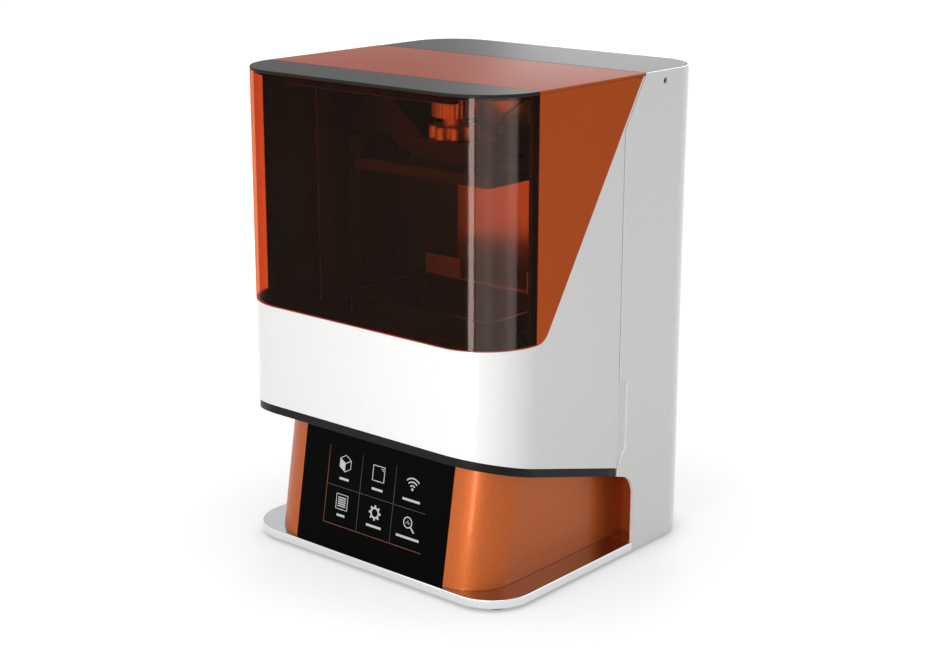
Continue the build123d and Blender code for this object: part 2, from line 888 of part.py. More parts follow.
def make_coupler():
    low = deck_height + motor_boss_height
    coupler = upright(coupler_radius, screw_x, screw_y, low, deck_height + coupler_length)
    return coupler - upright(screw_journal_radius, screw_x, screw_y, low, deck_height + coupler_length)


def make_motor():
    half = motor_size / 2
    body = block(screw_x - half, screw_x + half, screw_y - half, screw_y + half,
                 deck_bottom - motor_length, deck_bottom)
    body += upright(motor_boss_radius, screw_x, screw_y, deck_bottom, deck_bottom + motor_boss_height)
    return body - upright(screw_journal_radius + shaft_clearance, screw_x, screw_y,
                          deck_bottom - screw_journal_depth, deck_bottom + motor_boss_height)


def make_arm():
    """Gusset plate from the carriage to the clamp head, seen from the front as one outline."""
    root = bridge_face
    low = arm_top - arm_root_height
    tip = -head_width / 2
    outline = Polyline((root, arm_top), (-arm_flat_end, arm_top), (tip, head_top + arm_tip_height),
                       (tip, platform_top + arm_tip_lift), (-arm_step_near, platform_top + arm_tip_lift),
                       (-arm_step_far, low - flat_gap), (root, low), close=True)
    plate = extrude(Plane.XZ * make_face(outline), arm_thickness / 2, both=True)
    return Pos(0, platform_y, 0) * plate


def make_arm_head():
    head = block(-head_width / 2, head_width / 2, platform_y - head_depth / 2,
                 platform_y + head_depth / 2, platform_top, head_top)
    return head - upright(stud_radius + flat_gap, 0, platform_y, platform_top, head_top)


def make_build_platform():
    outline = Pos(0, platform_y) * Rectangle(platform_width, platform_depth)
    outline = fillet(outline.vertices(), platform_corner_radius)
    platform = standing(outline, platform_bottom, platform_top)
    platform += upright(stud_radius, 0, platform_y, platform_top, stud_top)
    return platform - upright(spindle_radius + shaft_clearance, 0, platform_y,
                              stud_top - spindle_length - flat_gap, stud_top)


def make_clamp_nut():
    low = head_top + flat_gap
    core = nut_radius - nut_lobe_radius
    nut = upright(core, 0, platform_y, low, low + nut_height)
    for lobe in range(nut_lobes):
        turn = Pos(0, platform_y) * Rot(0, 0, 360 * lobe / nut_lobes)
        nut += turn * upright(nut_lobe_radius, core, 0, low, low + nut_height)
    return nut - upright(stud_radius + shaft_clearance, 0, platform_y, low, low + nut_height)


def make_clamp_knob():
    knob = fluted(knob_radius, knob_height, knob_flute_radius, knob_flutes, 0, platform_y, knob_low)
    knob += upright(neck_radius, 0, platform_y, neck_low, knob_low)
    return knob + upright(spindle_radius, 0, platform_y, stud_top - spindle_length, neck_low)


def vat_outline(half_x, half_y, radius):
    outline = Pos(0, platform_y) * Rectangle(2 * half_x, 2 * half_y)
    return fillet(outline.vertices(), radius)


def make_vat_frame():
    frame = standing(vat_outline(vat_half, vat_half_depth, vat_corner_radius), deck_height, vat_top)
    for side in (-1, 1):
        ear = block(0, vat_half + ear_length, platform_y - ear_width / 2, platform_y + ear_width / 2,
                    deck_height, ear_top)
        frame += ear if side > 0 else mirror(ear, Plane.YZ)
    frame -= standing(vat_outline(vat_inner_half, vat_inner_half_depth, platform_corner_radius
                                  + vat_clearance), deck_height, vat_top)
    for side in (-1, 1):
        frame -= upright(vat_spindle_radius + vat_ear_hole_margin, side * vat_knob_x, platform_y,
                         deck_height, ear_top)
    return frame


def make_vat_film():
    low = deck_height + film_lift
    return standing(vat_outline(vat_inner_half, vat_inner_half_depth, platform_corner_radius
                                + vat_clearance), low, low + film_thickness)


def make_vat_tabs():
    high_y = platform_y + vat_half_depth
    tab = block(tab_from_centre, tab_from_centre + tab_width, high_y - tab_thickness, high_y,
                vat_top, vat_top + tab_height)
    return mirrored(tab)


def make_vat_knob(side):
    low = ear_top + flat_gap
    x = side * vat_knob_x
    knob = fluted(vat_knob_radius, vat_knob_height, vat_knob_flute_radius, vat_knob_flutes, x,
                  platform_y, low)
    return knob + upright(vat_spindle_radius - shaft_clearance, x, platform_y, deck_bottom, low)


def socket_block(x, width, height, wall, y_low, y_high):
    """The outside of a socket that fills its hole in the rear panel."""
    return block(x - width / 2 - wall, x + width / 2 + wall, y_low, y_high,
                 socket_height - height / 2 - wall, socket_height + height / 2 + wall)


def make_rear_panel():
    """Sheet over the back of the column, with a round patch of slots in front of the fan."""
    panel = block(-rear_panel_half + flat_gap, rear_panel_half - flat_gap, rear_panel_front, rear,
                  socket_plate_high + flat_gap, rear_panel_high - flat_gap)
    reach = exhaust_fan_size / 2 - fan_rim
    for slot in range(rear_panel_slots):
        offset = (slot - (rear_panel_slots - 1) / 2) * rear_slot_pitch
        half = (reach ** 2 - offset ** 2) ** 0.5
        panel -= block(-half, half, rear_panel_front, rear,
                       exhaust_fan_height + offset - rear_slot_height / 2,
                       exhaust_fan_height + offset + rear_slot_height / 2)
    return panel


def make_socket_plate():
    plate = block(-rear_panel_half + flat_gap, rear_panel_half - flat_gap, rear_panel_front, rear,
                  rear_panel_low + flat_gap, socket_plate_high)
    for x, width, height, wall in socket_sizes():
        plate -= socket_block(x, width, height, wall + flat_gap, rear_panel_front, rear)
    return plate


def socket_sizes():
    """Each socket's place across the panel, its inside width and height, and its wall."""
    return [(inlet_x, inlet_width, inlet_height, inlet_wall),
            (switch_x, switch_width, switch_height, switch_wall),
            (network_x, network_width, network_height, network_wall),
            (usb_x, usb_width, usb_height, usb_wall)]


def make_power_inlet():
    body = socket_block(inlet_x, inlet_width, inlet_height, inlet_wall, rear - inlet_length, rear)
    floor_y = rear - inlet_length + inlet_floor
    body -= socket_block(inlet_x, inlet_width, inlet_height, 0.0, floor_y, rear)
    for step in (-1, 0, 1):
        x = inlet_x + step * inlet_pin_pitch
        z = socket_height + (inlet_pin_raise if step == 0 else 0.0)
        body += block(x - inlet_pin_width / 2, x + inlet_pin_width / 2, floor_y,
                      floor_y + inlet_pin_length, z - inlet_pin_height / 2, z + inlet_pin_height / 2)
    return body


def rocker_pin_y():
    return rear - rocker_bulge - rocker_depth / 2


def make_switch_housing():
    body = socket_block(switch_x, switch_width, switch_height, switch_wall, rear - switch_length, rear)
    body -= socket_block(switch_x, switch_width, switch_height, 0.0, rear - switch_length
                         + switch_wall, rear)
    half = switch_width / 2
    return body + along_x(rocker_pin_radius, switch_x - half, switch_x + half,
                          rocker_pin_y(), socket_height)


def make_switch_rocker():
    """Rocker with a shallow V face, resting at one end of its tilt."""
    half = switch_height / 2 - rocker_gap - rocker_bulge
    face = rear - rocker_bulge
    back = face - rocker_depth
    profile = across([(back, socket_height - half), (face, socket_height - half),
                      (face - rocker_bulge, socket_height), (face, socket_height + half),
                      (back, socket_height + half)])
    width = switch_width / 2 - rocker_gap
    rocker = profile & block(switch_x - width, switch_x + width, front, rear, 0, top)
    rocker -= along_x(rocker_pin_radius + shaft_clearance, switch_x - width, switch_x + width,
                      rocker_pin_y(), socket_height)
    pivot = Axis((switch_x, rocker_pin_y(), socket_height), (1, 0, 0))
    return rocker.rotate(pivot, -rocker_tilt)


def make_network_port():
    body = socket_block(network_x, network_width, network_height, network_wall,
                        rear - network_length, rear)
    return body - socket_block(network_x, network_width, network_height, 0.0,
                               rear - network_length + network_wall, rear)


def make_usb_port():
    body = socket_block(usb_x, usb_width, usb_height, usb_wall, rear - usb_length, rear)
    floor_y = rear - usb_length + usb_wall
    body -= socket_block(usb_x, usb_width, usb_height, 0.0, floor_y, rear)
    tongue = block(usb_x - usb_width / 2 + usb_wall, usb_x + usb_width / 2 - usb_wall, floor_y,
                   rear - 2 * usb_wall, socket_height, socket_height + usb_tongue_thickness)
    return body + tongue


def make_data_sockets():
    return make_network_port() + make_usb_port()


def make_power_supply():
    y_low = housing_flange + supply_behind_housing
    return block(-supply_width / 2, supply_width / 2, y_low, y_low + supply_depth, plate_top,
                 plate_top + supply_height)


def make_main_board():
    y_low = back_wall_rear + board_standoff
    high = board_low_height + board_height
    board = block(-board_width / 2, board_width / 2, y_low, y_low + board_thickness,
                  board_low_height, high)
    for x in (-board_width / 2 + standoff_inset, board_width / 2 - standoff_inset):
        for z in (board_low_height + standoff_inset, high - standoff_inset):
            board += along_y(standoff_radius, x, back_wall_rear, y_low, z)
    pitch = board_width / board_chips
    chip_z = board_low_height + board_height / 2
    for chip in range(board_chips):
        x = -board_width / 2 + pitch / 2 + chip * pitch
        board += block(x - chip_size / 2, x + chip_size / 2, y_low + board_thickness,
                       y_low + board_thickness + chip_height, chip_z - chip_size / 2,
                       chip_z + chip_size / 2)
    return board


pieces = {
    "base_plate": make_base_plate(),
    "rubber_feet": make_feet(),
    "lower_housing": make_lower_housing(),
    "display_glass": make_display_glass(),
    "display_module": make_display_module(),
    "rear_shell": make_rear_shell(),
    "top_cover": make_top_cover(),
    "rear_panel": make_rear_panel(),
    "socket_plate": make_socket_plate(),
    "power_inlet": make_power_inlet(),
    "switch_housing": make_switch_housing(),
    "switch_rocker": make_switch_rocker(),
    "data_sockets": make_data_sockets(),
    "exhaust_fan_frame": exhaust_fan_place() * fan_frame(exhaust_fan_size),
    "exhaust_fan_rotor": exhaust_fan_place() * fan_rotor(exhaust_fan_size),
    "power_supply": make_power_supply(),
    "main_board": make_main_board(),
    "rim_plate": make_rim_plate(),
    "inner_tub": make_tub(),
    "deck_plate": make_deck(),
    "mask_screen": make_mask_screen(),
    "light_engine_housing": make_engine_housing(),
    "lens_plate": make_lens_plate(),
    "led_board": make_led_board(),
    "heat_sink": make_heat_sink(),
    "led_fan_frame": led_fan_place() * fan_frame(led_fan_size),
    "led_fan_rotor": led_fan_place() * fan_rotor(led_fan_size),
    "chamber_back_wall": make_back_wall(),
    "bright_back_panel": make_bright_panel(),
    "panel_thumb_screws": make_thumb_screws(),
    "lift_plate": make_lift_plate(),
    "lift_tower_cover": make_tower_cover(),
    "lift_rail": make_rail(),
    "lift_motor": make_motor(),
    "lead_screw": make_lead_screw(),
    "shaft_coupler": make_coupler(),
    "lift_carriage": make_carriage(),
    "carriage_bridge": make_carriage_bridge(),
    "platform_arm": make_arm(),
    "arm_head": make_arm_head(),
    "build_platform": make_build_platform(),
    "clamp_nut": make_clamp_nut(),
    "clamp_knob": make_clamp_knob(),
    "vat_frame": make_vat_frame(),
    "vat_film": make_vat_film(),
    "vat_tabs": make_vat_tabs(),
    "vat_knob_left": make_vat_knob(-1),
    "vat_knob_right": make_vat_knob(1),
    "hood_shell": make_hood_shell(),
    "hood_trim": make_hood_trim(),
    "front_window": make_front_window(),
    "side_windows": make_side_windows(),
    "top_front_band": make_top_front_band(),
    "top_orange_panel": make_top_orange_panel(),
    "hood_roof_liner": make_roof_liner(),
    "hood_side_liners": make_side_liners(),
    "hood_light_bar": make_light_bar(),
    "hood_arm_plates": make_arm_plates(),
    "hinge_pins": make_hinge_pins(),
    "hinge_brackets": make_hinge_brackets(),
}

for name, piece in pieces.items():
    piece.label = name
    export_step(piece, f"parts/{name}.step")
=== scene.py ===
import json
import math

import bmesh
import bpy
import numpy as np
from mathutils import Matrix, Vector


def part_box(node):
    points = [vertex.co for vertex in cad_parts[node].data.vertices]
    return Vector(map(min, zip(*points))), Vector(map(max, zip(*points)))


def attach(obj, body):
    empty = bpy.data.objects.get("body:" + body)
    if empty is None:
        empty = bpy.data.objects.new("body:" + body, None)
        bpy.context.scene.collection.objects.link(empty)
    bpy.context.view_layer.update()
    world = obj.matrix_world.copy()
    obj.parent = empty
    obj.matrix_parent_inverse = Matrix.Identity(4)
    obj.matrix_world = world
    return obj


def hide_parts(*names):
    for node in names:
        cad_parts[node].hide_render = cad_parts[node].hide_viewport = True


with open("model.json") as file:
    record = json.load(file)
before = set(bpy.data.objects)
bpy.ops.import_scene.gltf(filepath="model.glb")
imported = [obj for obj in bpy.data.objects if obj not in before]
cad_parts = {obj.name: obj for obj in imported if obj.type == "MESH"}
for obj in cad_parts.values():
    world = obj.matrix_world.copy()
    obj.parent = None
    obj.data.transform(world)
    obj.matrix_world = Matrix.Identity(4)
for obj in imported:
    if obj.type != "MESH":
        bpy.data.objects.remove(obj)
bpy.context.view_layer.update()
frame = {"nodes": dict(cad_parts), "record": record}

# Rubber feet: four discs of black moulded rubber, 30 mm across, pressed under the base plate.
# Their lower rim is rounded where it was moulded, and the surface is dull with a fine grain.


def box_mm(node):
    """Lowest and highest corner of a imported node, in millimetres."""
    return np.array(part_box(node)) * 1000


def linear(code):
    """An sRGB hex colour turned to linear light, with full opacity."""
    channel = np.array([int(code[place:place + 2], 16) for place in (1, 3, 5)]) / 255
    bright = ((channel + 0.055) / 1.055) ** 2.4
    return (*np.where(channel <= 0.04045, channel / 12.92, bright), 1.0)


def add(material, kind, settings={}, links={}):
    """One node with its settings, by socket or property, and its links, socket to source."""
    node = material.node_tree.nodes.new(kind)
    for key, value in settings.items():
        if isinstance(key, int) or key in node.inputs:
            node.inputs[key].default_value = value
        else:
            setattr(node, key, value)
    for key, source in links.items():
        material.node_tree.links.new(source, node.inputs[key])
    return node


def blank(name, code, settings={}):
    """A new material with its shader, its base colour and the piece's own coordinates."""
    material = bpy.data.materials.new(name)
    material.use_nodes = True
    shader = material.node_tree.nodes["Principled BSDF"]
    shader.inputs["Base Color"].default_value = linear(code)
    for key, value in settings.items():
        shader.inputs[key].default_value = value
    return material, shader, add(material, "ShaderNodeTexCoord").outputs["Object"]


def textured(name, code, other, roughness, grain, depth, settings={}, edge=0.0, stretch=(1, 1, 1)):
    """A finish with two near colours, uneven roughness and a fine relief.

    Noise at the grain's size in millimetres mixes the colours and drives a bump of the given depth
    in millimetres. Noise twenty times as coarse moves the roughness between its two values. A size
    of edge in millimetres rounds sharp edges in the light. Stretch draws the grain out on an axis."""
    material, shader, place = blank(name, code, settings)
    tree = material.node_tree
    scaled = add(material, "ShaderNodeMapping", {"Scale": stretch}, {"Vector": place})
    fine = add(material, "ShaderNodeTexNoise", {"Scale": 1000 / grain, "Detail": 3.0},
               {"Vector": scaled.outputs[0]})
    coarse = add(material, "ShaderNodeTexNoise", {"Scale": 50 / grain, "Detail": 2.0},
                 {"Vector": scaled.outputs[0]})
    mix = add(material, "ShaderNodeMix", {"data_type": "RGBA", 6: linear(code), 7: linear(other)},
              {0: fine.outputs["Fac"]})
    rough = add(material, "ShaderNodeMapRange", {"From Min": 0.3, "From Max": 0.7,
                "To Min": roughness[0], "To Max": roughness[1]}, {"Value": coarse.outputs["Fac"]})
    bump = add(material, "ShaderNodeBump", {"Strength": 1.0, "Distance": depth / 1000},
               {"Height": fine.outputs["Fac"]})
    if edge:
        worn = add(material, "ShaderNodeBevel", {"samples": 4, "Radius": edge / 1000})
        tree.links.new(worn.outputs[0], bump.inputs["Normal"])
    tree.links.new(mix.outputs[2], shader.inputs["Base Color"])
    tree.links.new(rough.outputs[0], shader.inputs["Roughness"])
    tree.links.new(bump.outputs[0], shader.inputs["Normal"])
    return material


def loft(rings, round_trip=False):
    """Rings of points, one after the other, joined by four-sided faces.

    Each ring is a closed loop. The first and last ring are filled, or joined on a round trip."""
    count, around = rings.shape[:2]
    index = np.arange(count * around).reshape(count, around)
    turned = np.roll(index, -1, axis=1)
    ahead = np.roll(index, -1, axis=0) if round_trip else index[1:]
    ahead_turned = np.roll(turned, -1, axis=0) if round_trip else turned[1:]
    last = count if round_trip else count - 1
    faces = np.stack([index[:last], turned[:last], ahead_turned, ahead], axis=-1)
    faces = faces.reshape(-1, 4).tolist()
    if not round_trip:
        faces += [index[0, ::-1].tolist(), index[-1].tolist()]
    return rings.reshape(-1, 3), faces


def put(name, parts, finishes, body, nodes=(), sharp=35.0, paint=None):
    """A new piece from one or more lofts in millimetres, with its finish, its body and its nodes.

    Doubled points are merged and the faces turned outwards. Edges over the sharp angle stay crisp.
    Paint gives each face the number of its finish from the faces' centres and normals."""
    points = np.vstack([part[0] for part in parts]) / 1000
    starts = np.cumsum([0] + [len(part[0]) for part in parts[:-1]])
    faces = [[corner + start for corner in face] for part, start in zip(parts, starts.tolist())
             for face in part[1]]
    mesh = bpy.data.meshes.new(name)
    mesh.from_pydata(points, [], faces)
    work = bmesh.new()
    work.from_mesh(mesh)
    bmesh.ops.remove_doubles(work, verts=work.verts, dist=1e-6)
    bmesh.ops.dissolve_degenerate(work, edges=work.edges, dist=1e-6)
    bmesh.ops.recalc_face_normals(work, faces=work.faces)
    work.to_mesh(mesh)
    work.free()
    piece = bpy.data.objects.new(name, mesh)
    bpy.context.scene.collection.objects.link(piece)
    for finish in finishes:
        mesh.materials.append(finish)
    mesh.shade_smooth()
    mesh.set_sharp_from_angle(angle=math.radians(sharp))
    if paint:
        centre = np.array([face.center for face in mesh.polygons]) * 1000
        facing = np.array([face.normal for face in mesh.polygons])
        mesh.polygons.foreach_set("material_index", paint(centre, facing).astype(np.int32))
    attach(piece, body)
    if nodes:
        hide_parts(*nodes)
    return piece


def turned(profile, x=0.0, y=0.0, sides=64, wave=None):
    """A shape turned about an upright axis, from a list of radius and height.

    The radius at each angle is the profile's, less a wave where one is given."""
    radius, height = np.array(profile, float).T
    angle = np.linspace(0, 2 * math.pi, sides, endpoint=False)
    wide = radius[:, None] * np.ones(sides)
    if wave:
        wide = wide - wave(radius[:, None], angle[None, :])
    rings = np.stack([x + wide * np.cos(angle), y + wide * np.sin(angle),
                      height[:, None] * np.ones(sides)], axis=-1)
    return loft(rings)


rubber = textured("moulded_rubber", "#1B1B1B", "#101010", (0.7, 0.85), 0.6, 0.05)
foot_low, foot_high = box_mm("rubber_feet")
foot_radius = 15.0
foot_rim = 1.2
foot_profile = [(foot_radius - 5, 0.4), (foot_radius - 4.2, 0), (foot_radius - foot_rim, 0),
                (foot_radius - foot_rim / 3, foot_rim / 3), (foot_radius, foot_rim),
                (foot_radius, foot_high[2])]
feet = [turned(foot_profile, x, y, 48)
        for x in (foot_low[0] + foot_radius, foot_high[0] - foot_radius)
        for y in (foot_low[1] + foot_radius, foot_high[1] - foot_radius)]
put("rubber_feet_moulded", feet, [rubber], "frame", ["rubber_feet"])

# Base plate: 10 mm aluminium, milled to its outline and polished, with its edges broken.
# It mirrors the housing above it softly, and faint polishing lines run across it.


def rounded_plan(half, low, high, low_radius, high_radius, steps=18):
    """A plan outline that can be drawn in: two quarter circles in front, two behind."""
    def outline(inset):
        points = []
        for across, along, radius, start in ((1, -1, low_radius, -90), (1, 1, high_radius, 0),
                                             (-1, 1, high_radius, 90), (-1, -1, low_radius, 180)):
            bend = max(radius - inset, 0.02)
            angle = np.radians(np.linspace(start, start + 90, steps + 1))
            x = across * (half - inset - bend)
            y = (high - inset - bend) if along > 0 else (low + inset + bend)
            points.append(np.column_stack([x + bend * np.cos(angle), y + bend * np.sin(angle)]))
        return np.vstack(points)
    return outline


def plate(outline, low, high, edge, steps=4):
    """An outline stacked from low to high, drawn in along a quarter circle at both faces."""
    guard = 0.3
    angle = np.linspace(0, math.pi / 2, steps + 1)
    inset = np.concatenate([[edge + guard], edge * (1 - np.sin(angle)), edge * (1 - np.cos(angle)),
                            [edge + guard]])
    height = np.concatenate([[low], low + edge * (1 - np.cos(angle)),
                             high - edge * (1 - np.sin(angle)), [high]])
    rings = [np.column_stack([points, np.full(len(points), level)])
             for points, level in ((outline(step), level) for step, level in zip(inset, height))]
    return loft(np.array(rings))


polished = textured("polished_aluminium", "#E9EAEC", "#DEDFE2", (0.10, 0.17), 0.9, 0.0006,
                    {"Metallic": 1.0}, stretch=(0.04, 1, 1))
# A darker copy of the polished finish for the top and bottom faces: painted shade, so the top reads
# darker than the bright edges.
shaded_plate_face = textured("plate_face_painted_shade", "#BCBDC0", "#B2B3B7", (0.10, 0.17), 0.9, 0.0006,
                        {"Metallic": 1.0}, stretch=(0.04, 1, 1))


def painted_shade_faces(centre, normal):
    """The second finish, a darker copy that paints shade, goes on the faces that look up or down."""
    return np.abs(normal[:, 2]) > 0.9


plate_low, plate_high = box_mm("base_plate")
half_width = plate_high[0]
plate_bottom, plate_top = plate_low[2], plate_high[2]
plate_edge = 1.3
plate_corner = 51.0
plate_side_end = 61.2
plate_rear_half = 185.7
plate_rear_corner = 56.0
put("base_plate_polished",
    [plate(rounded_plan(half_width, plate_low[1], plate_side_end, plate_corner, 0.3), plate_bottom,
           plate_top, plate_edge, 6),
     plate(rounded_plan(plate_rear_half, plate_side_end - 0.5, plate_high[1], 0.3,
                        plate_rear_corner), plate_bottom, plate_top, plate_edge)],
    [polished, shaded_plate_face], "frame", ["base_plate"], paint=painted_shade_faces)

# Lower housing: a bent steel skin with a 3 mm wall that leans back, sprayed in orange metallic
# lacquer under a clear coat. Its side flanges are screwed to the column's front.


def around(half, front, radius, side, steps=28):
    """A plan line and its outward normals, from the left side round the front to the right side.

    A quarter circle of the given radius joins the front to each side."""
    guard = 1.0
    angle = np.radians(np.linspace(0, 90, steps + 1))
    start = half - radius
    x = np.concatenate([[start - guard], start + radius * np.sin(angle), np.full(len(side), half)])
    y = np.concatenate([[front], front + radius - radius * np.cos(angle), side])
    normal_x = np.concatenate([[0], np.sin(angle), np.ones(len(side))])
    normal_y = np.concatenate([[-1], -np.cos(angle), np.zeros(len(side))])
    line, normal = np.column_stack([x, y]), np.column_stack([normal_x, normal_y])
    return np.vstack([line[::-1] * (-1, 1), line]), np.vstack([normal[::-1] * (-1, 1), normal])


def section(low, high, thickness, edge, steps=3):
    """The loop of a wall's cross-section at each station, its four edges rounded.

    Gives offsets inward from the outer face, heights for each station, and the direction that
    draws each point into the wall, which rounds the wall's ends as well."""
    guard = 0.4
    t = np.linspace(0, math.pi / 2, steps + 1)
    sin, cos, one = edge * np.sin(t), edge * np.cos(t), np.ones(steps + 1)
    far = thickness - edge
    offset = np.concatenate([edge - sin, [0, 0], edge - cos, far + sin, [thickness, thickness],
                             far + cos])
    rise = np.concatenate([edge - cos, [edge + guard, -edge - guard], sin - edge, cos - edge,
                           [-edge - guard, edge + guard], edge - sin])
    upper = np.concatenate([0 * one, [0, 1], one, one, [1, 0], 0 * one])
    inward = np.concatenate([np.sin(t), [1, 1], np.cos(t), -np.sin(t), [-1, -1], -np.cos(t)])
    lift = np.concatenate([np.cos(t), [0, 0], -np.sin(t), -np.cos(t), [0, 0], np.sin(t)])
    low, high = np.asarray(low, float)[:, None], np.asarray(high, float)[:, None]
    return offset, low * (1 - upper) + high * upper + rise, np.column_stack([inward, lift])


def carry(path, offset, height, draw, edge, lean=0.0, floor=0.0, limit=1e9):
    """A wall's section carried along a plan line, its ends rounded, leaning back with height.

    A point is the line's place, less the offset along the outward normal, at the section's
    height. The lean moves it back by its height over the floor, up to a limit."""
    line, normal = path
    t = np.linspace(0, math.pi / 2, 4)[1:]

    def place(row, shift, along):
        x = line[row, 0] - normal[row, 0] * (offset + shift * draw[:, 0]) + along[0]
        y = line[row, 1] - normal[row, 1] * (offset + shift * draw[:, 0]) + along[1]
        z = height[row] + shift * draw[:, 1]
        return np.column_stack([x, np.minimum(y + lean * (z - floor), limit), z])

    def end(row, step):
        ahead = (line[row] - line[row + step]) / np.linalg.norm(line[row] - line[row + step])
        return [place(row, edge * (1 - np.cos(a)), ahead * edge * (np.sin(a) - 1)) for a in t]

    first = place(0, 0.0, (line[1] - line[0]) / np.linalg.norm(line[1] - line[0]) * edge)
    last = place(-1, 0.0, (line[-2] - line[-1]) / np.linalg.norm(line[-2] - line[-1]) * edge)
    middle = [place(row, 0.0, (0, 0)) for row in range(1, len(line) - 1)]
    return loft(np.array(end(0, 1)[::-1] + [first] + middle + [last] + end(-1, -1)))


def wall(path, low, high, thickness, edge=0.6, **placing):
    """A wall of even thickness between two heights, each a number or one value a station."""
    flat = np.ones(len(path[0]))
    offset, height, draw = section(low * flat, high * flat, thickness, edge)
    return carry(path, offset, height, draw, edge, **placing)


def inset_polygon(corners):
    """A straight-sided outline that can be drawn in: each corner moves along its bisector."""
    corners = np.array(corners, float)

    def outline(inset):
        side = np.roll(corners, -1, axis=0) - corners
        side /= np.linalg.norm(side, axis=1)[:, None]
        inner = np.column_stack([-side[:, 1], side[:, 0]])
        before = np.roll(inner, 1, axis=0)
        share = 1 + np.sum(inner * before, axis=1)
        return corners + inset * (inner + before) / share[:, None]
    return outline


def facing(part, order):
    """A plate laid in another plane by giving its three coordinates a new order."""
    return part[0][:, order], part[1]


lacquer, lacquer_shader, lacquer_place = blank("orange_metallic_lacquer", "#B1551E", {
    "Metallic": 0.6, "Specular IOR Level": 0.25, "Coat Weight": 0.2, "Coat Roughness": 0.08,
    "Coat IOR": 1.5})
# Flakes are 0.05 mm in the real lacquer, and drawn at 0.7 mm so that they show.
flake_size = 0.7
flakes = add(lacquer, "ShaderNodeTexVoronoi", {"Scale": 1000 / flake_size}, {"Vector": lacquer_place})
flake_mix = add(lacquer, "ShaderNodeMix", {"data_type": "RGBA", 6: linear("#A64D19"),
                7: linear("#BE6026")}, {0: flakes.outputs["Color"]})
flake_rough = add(lacquer, "ShaderNodeMapRange", {"To Min": 0.36, "To Max": 0.46},
                  {"Value": flakes.outputs["Distance"]})
flake_bump = add(lacquer, "ShaderNodeBump", {"Strength": 0.06, "Distance": 0.0001},
                 {"Height": flakes.outputs["Distance"]})
lacquer.node_tree.links.new(flake_mix.outputs[2], lacquer_shader.inputs["Base Color"])
lacquer.node_tree.links.new(flake_rough.outputs[0], lacquer_shader.inputs["Roughness"])
lacquer.node_tree.links.new(flake_bump.outputs[0], lacquer_shader.inputs["Normal"])

front, rear = box_mm("hood_shell")[0][1], box_mm("rear_shell")[1][1]
housing_low, housing_high = box_mm("lower_housing")
housing_half = 160.0
housing_corner = 52.0
housing_wall = 3.0
housing_lean = 0.1657
housing_edge = 0.5
flange_rear = housing_high[1]
flange_half = housing_high[0]
glass_half = box_mm("display_glass")[1][0]
glass_thickness = 1.8
glass_gap = 0.3
hood_edge_front = 168.4
hood_edge_slope = 0.27
rim_thickness = 9.5
hood_floor_gap = 0.4


def hood_edge(y):
    """Height of the hood's lower edge, which falls towards the back."""
    return hood_edge_front - hood_edge_slope * (y - front)


def rim_bottom(y):
    """Height of the rim plate's lower face, under the hood's edge."""
    return hood_edge(y) - hood_floor_gap - rim_thickness


def leaning_top(y):
    """Height at which a face that leans back from y at the plate meets the rim plate."""
    return (rim_bottom(y) + hood_edge_slope * housing_lean * plate_top) / (
        1 + hood_edge_slope * housing_lean)


leaning = {"lean": housing_lean, "floor": plate_top, "limit": flange_rear}
side_places = np.linspace(housing_low[1] + housing_corner + 1, flange_rear, 8)
skin = around(housing_half, housing_low[1], housing_corner, side_places)
on_right = skin[0][:, 0] > glass_half + glass_gap + 2
first_right = np.argmax(on_right)
edge_line = np.array([[glass_half + glass_gap, housing_low[1]],
                      [glass_half + glass_gap + 1.2, housing_low[1]]])
edge_normal = np.array([[0.0, -1.0], [0.0, -1.0]])
right_line = np.vstack([edge_line, skin[0][first_right:]])
right_normal = np.vstack([edge_normal, skin[1][first_right:]])
skin_parts = []
for side in (1, -1):
    order = slice(None, None, side)
    part_line, part_normal = (right_line * (side, 1))[order], (right_normal * (side, 1))[order]
    skin_parts.append(wall((part_line, part_normal), plate_top, leaning_top(part_line[:, 1]),
                           housing_wall, housing_edge, **leaning))
behind_line = np.array([[-glass_half - 1, housing_low[1]], [glass_half + 1, housing_low[1]]])
behind_line = behind_line + (0, glass_thickness + 0.1)
skin_parts.append(wall((behind_line, edge_normal), plate_top, leaning_top(behind_line[:, 1]),
                       housing_wall - glass_thickness - 0.1, 0.2, **leaning))
flange_profile = inset_polygon([(housing_half - 1.5, plate_top), (flange_half, plate_top),
                                (flange_half, rim_bottom(flange_rear)),
                                (housing_half - 1.5, rim_bottom(flange_rear))])
for side in (1, -1):
    points, faces = facing(plate(flange_profile, flange_rear - housing_wall, flange_rear, 0.4),
                           [0, 2, 1])
    skin_parts.append((points * (side, 1, 1), faces))
put("lower_housing_lacquered", skin_parts, [lacquer], "frame", ["lower_housing"])

# Touch screen: a pane of black cover glass, 1.8 mm thick and flush with the housing. Behind it
# sits a 7 inch panel whose six tiles glow through, drawn as fine raised lines on the glass.

glass_black = textured("black_cover_glass", "#020202", "#040404", (0.03, 0.06), 8.0, 0.0001,
                       {"IOR": 1.52, "Specular IOR Level": 0.02})
angle = math.atan(housing_lean)
up_slope = np.array([0, math.sin(angle), math.cos(angle)])
out_of_glass = np.array([0, -math.cos(angle), math.sin(angle)])
screen_origin = np.array([0, housing_low[1], plate_top])


def on_screen(points):
    """Places across, up the slope and out of the glass, turned to the part's own axes."""
    across, up, out = points.T
    return (screen_origin + across[:, None] * (1, 0, 0) + up[:, None] * up_slope
            + out[:, None] * out_of_glass)


glass_top = (leaning_top(housing_low[1]) - plate_top) / math.cos(angle) - 0.5
pane = plate(inset_polygon([(-glass_half, 0.1), (glass_half, 0.1), (glass_half, glass_top),
                            (-glass_half, glass_top)]), -glass_thickness, 0.0, 0.35)
put("display_glass_pane", [(on_screen(pane[0]), pane[1])], [glass_black], "frame",
    ["display_glass"])


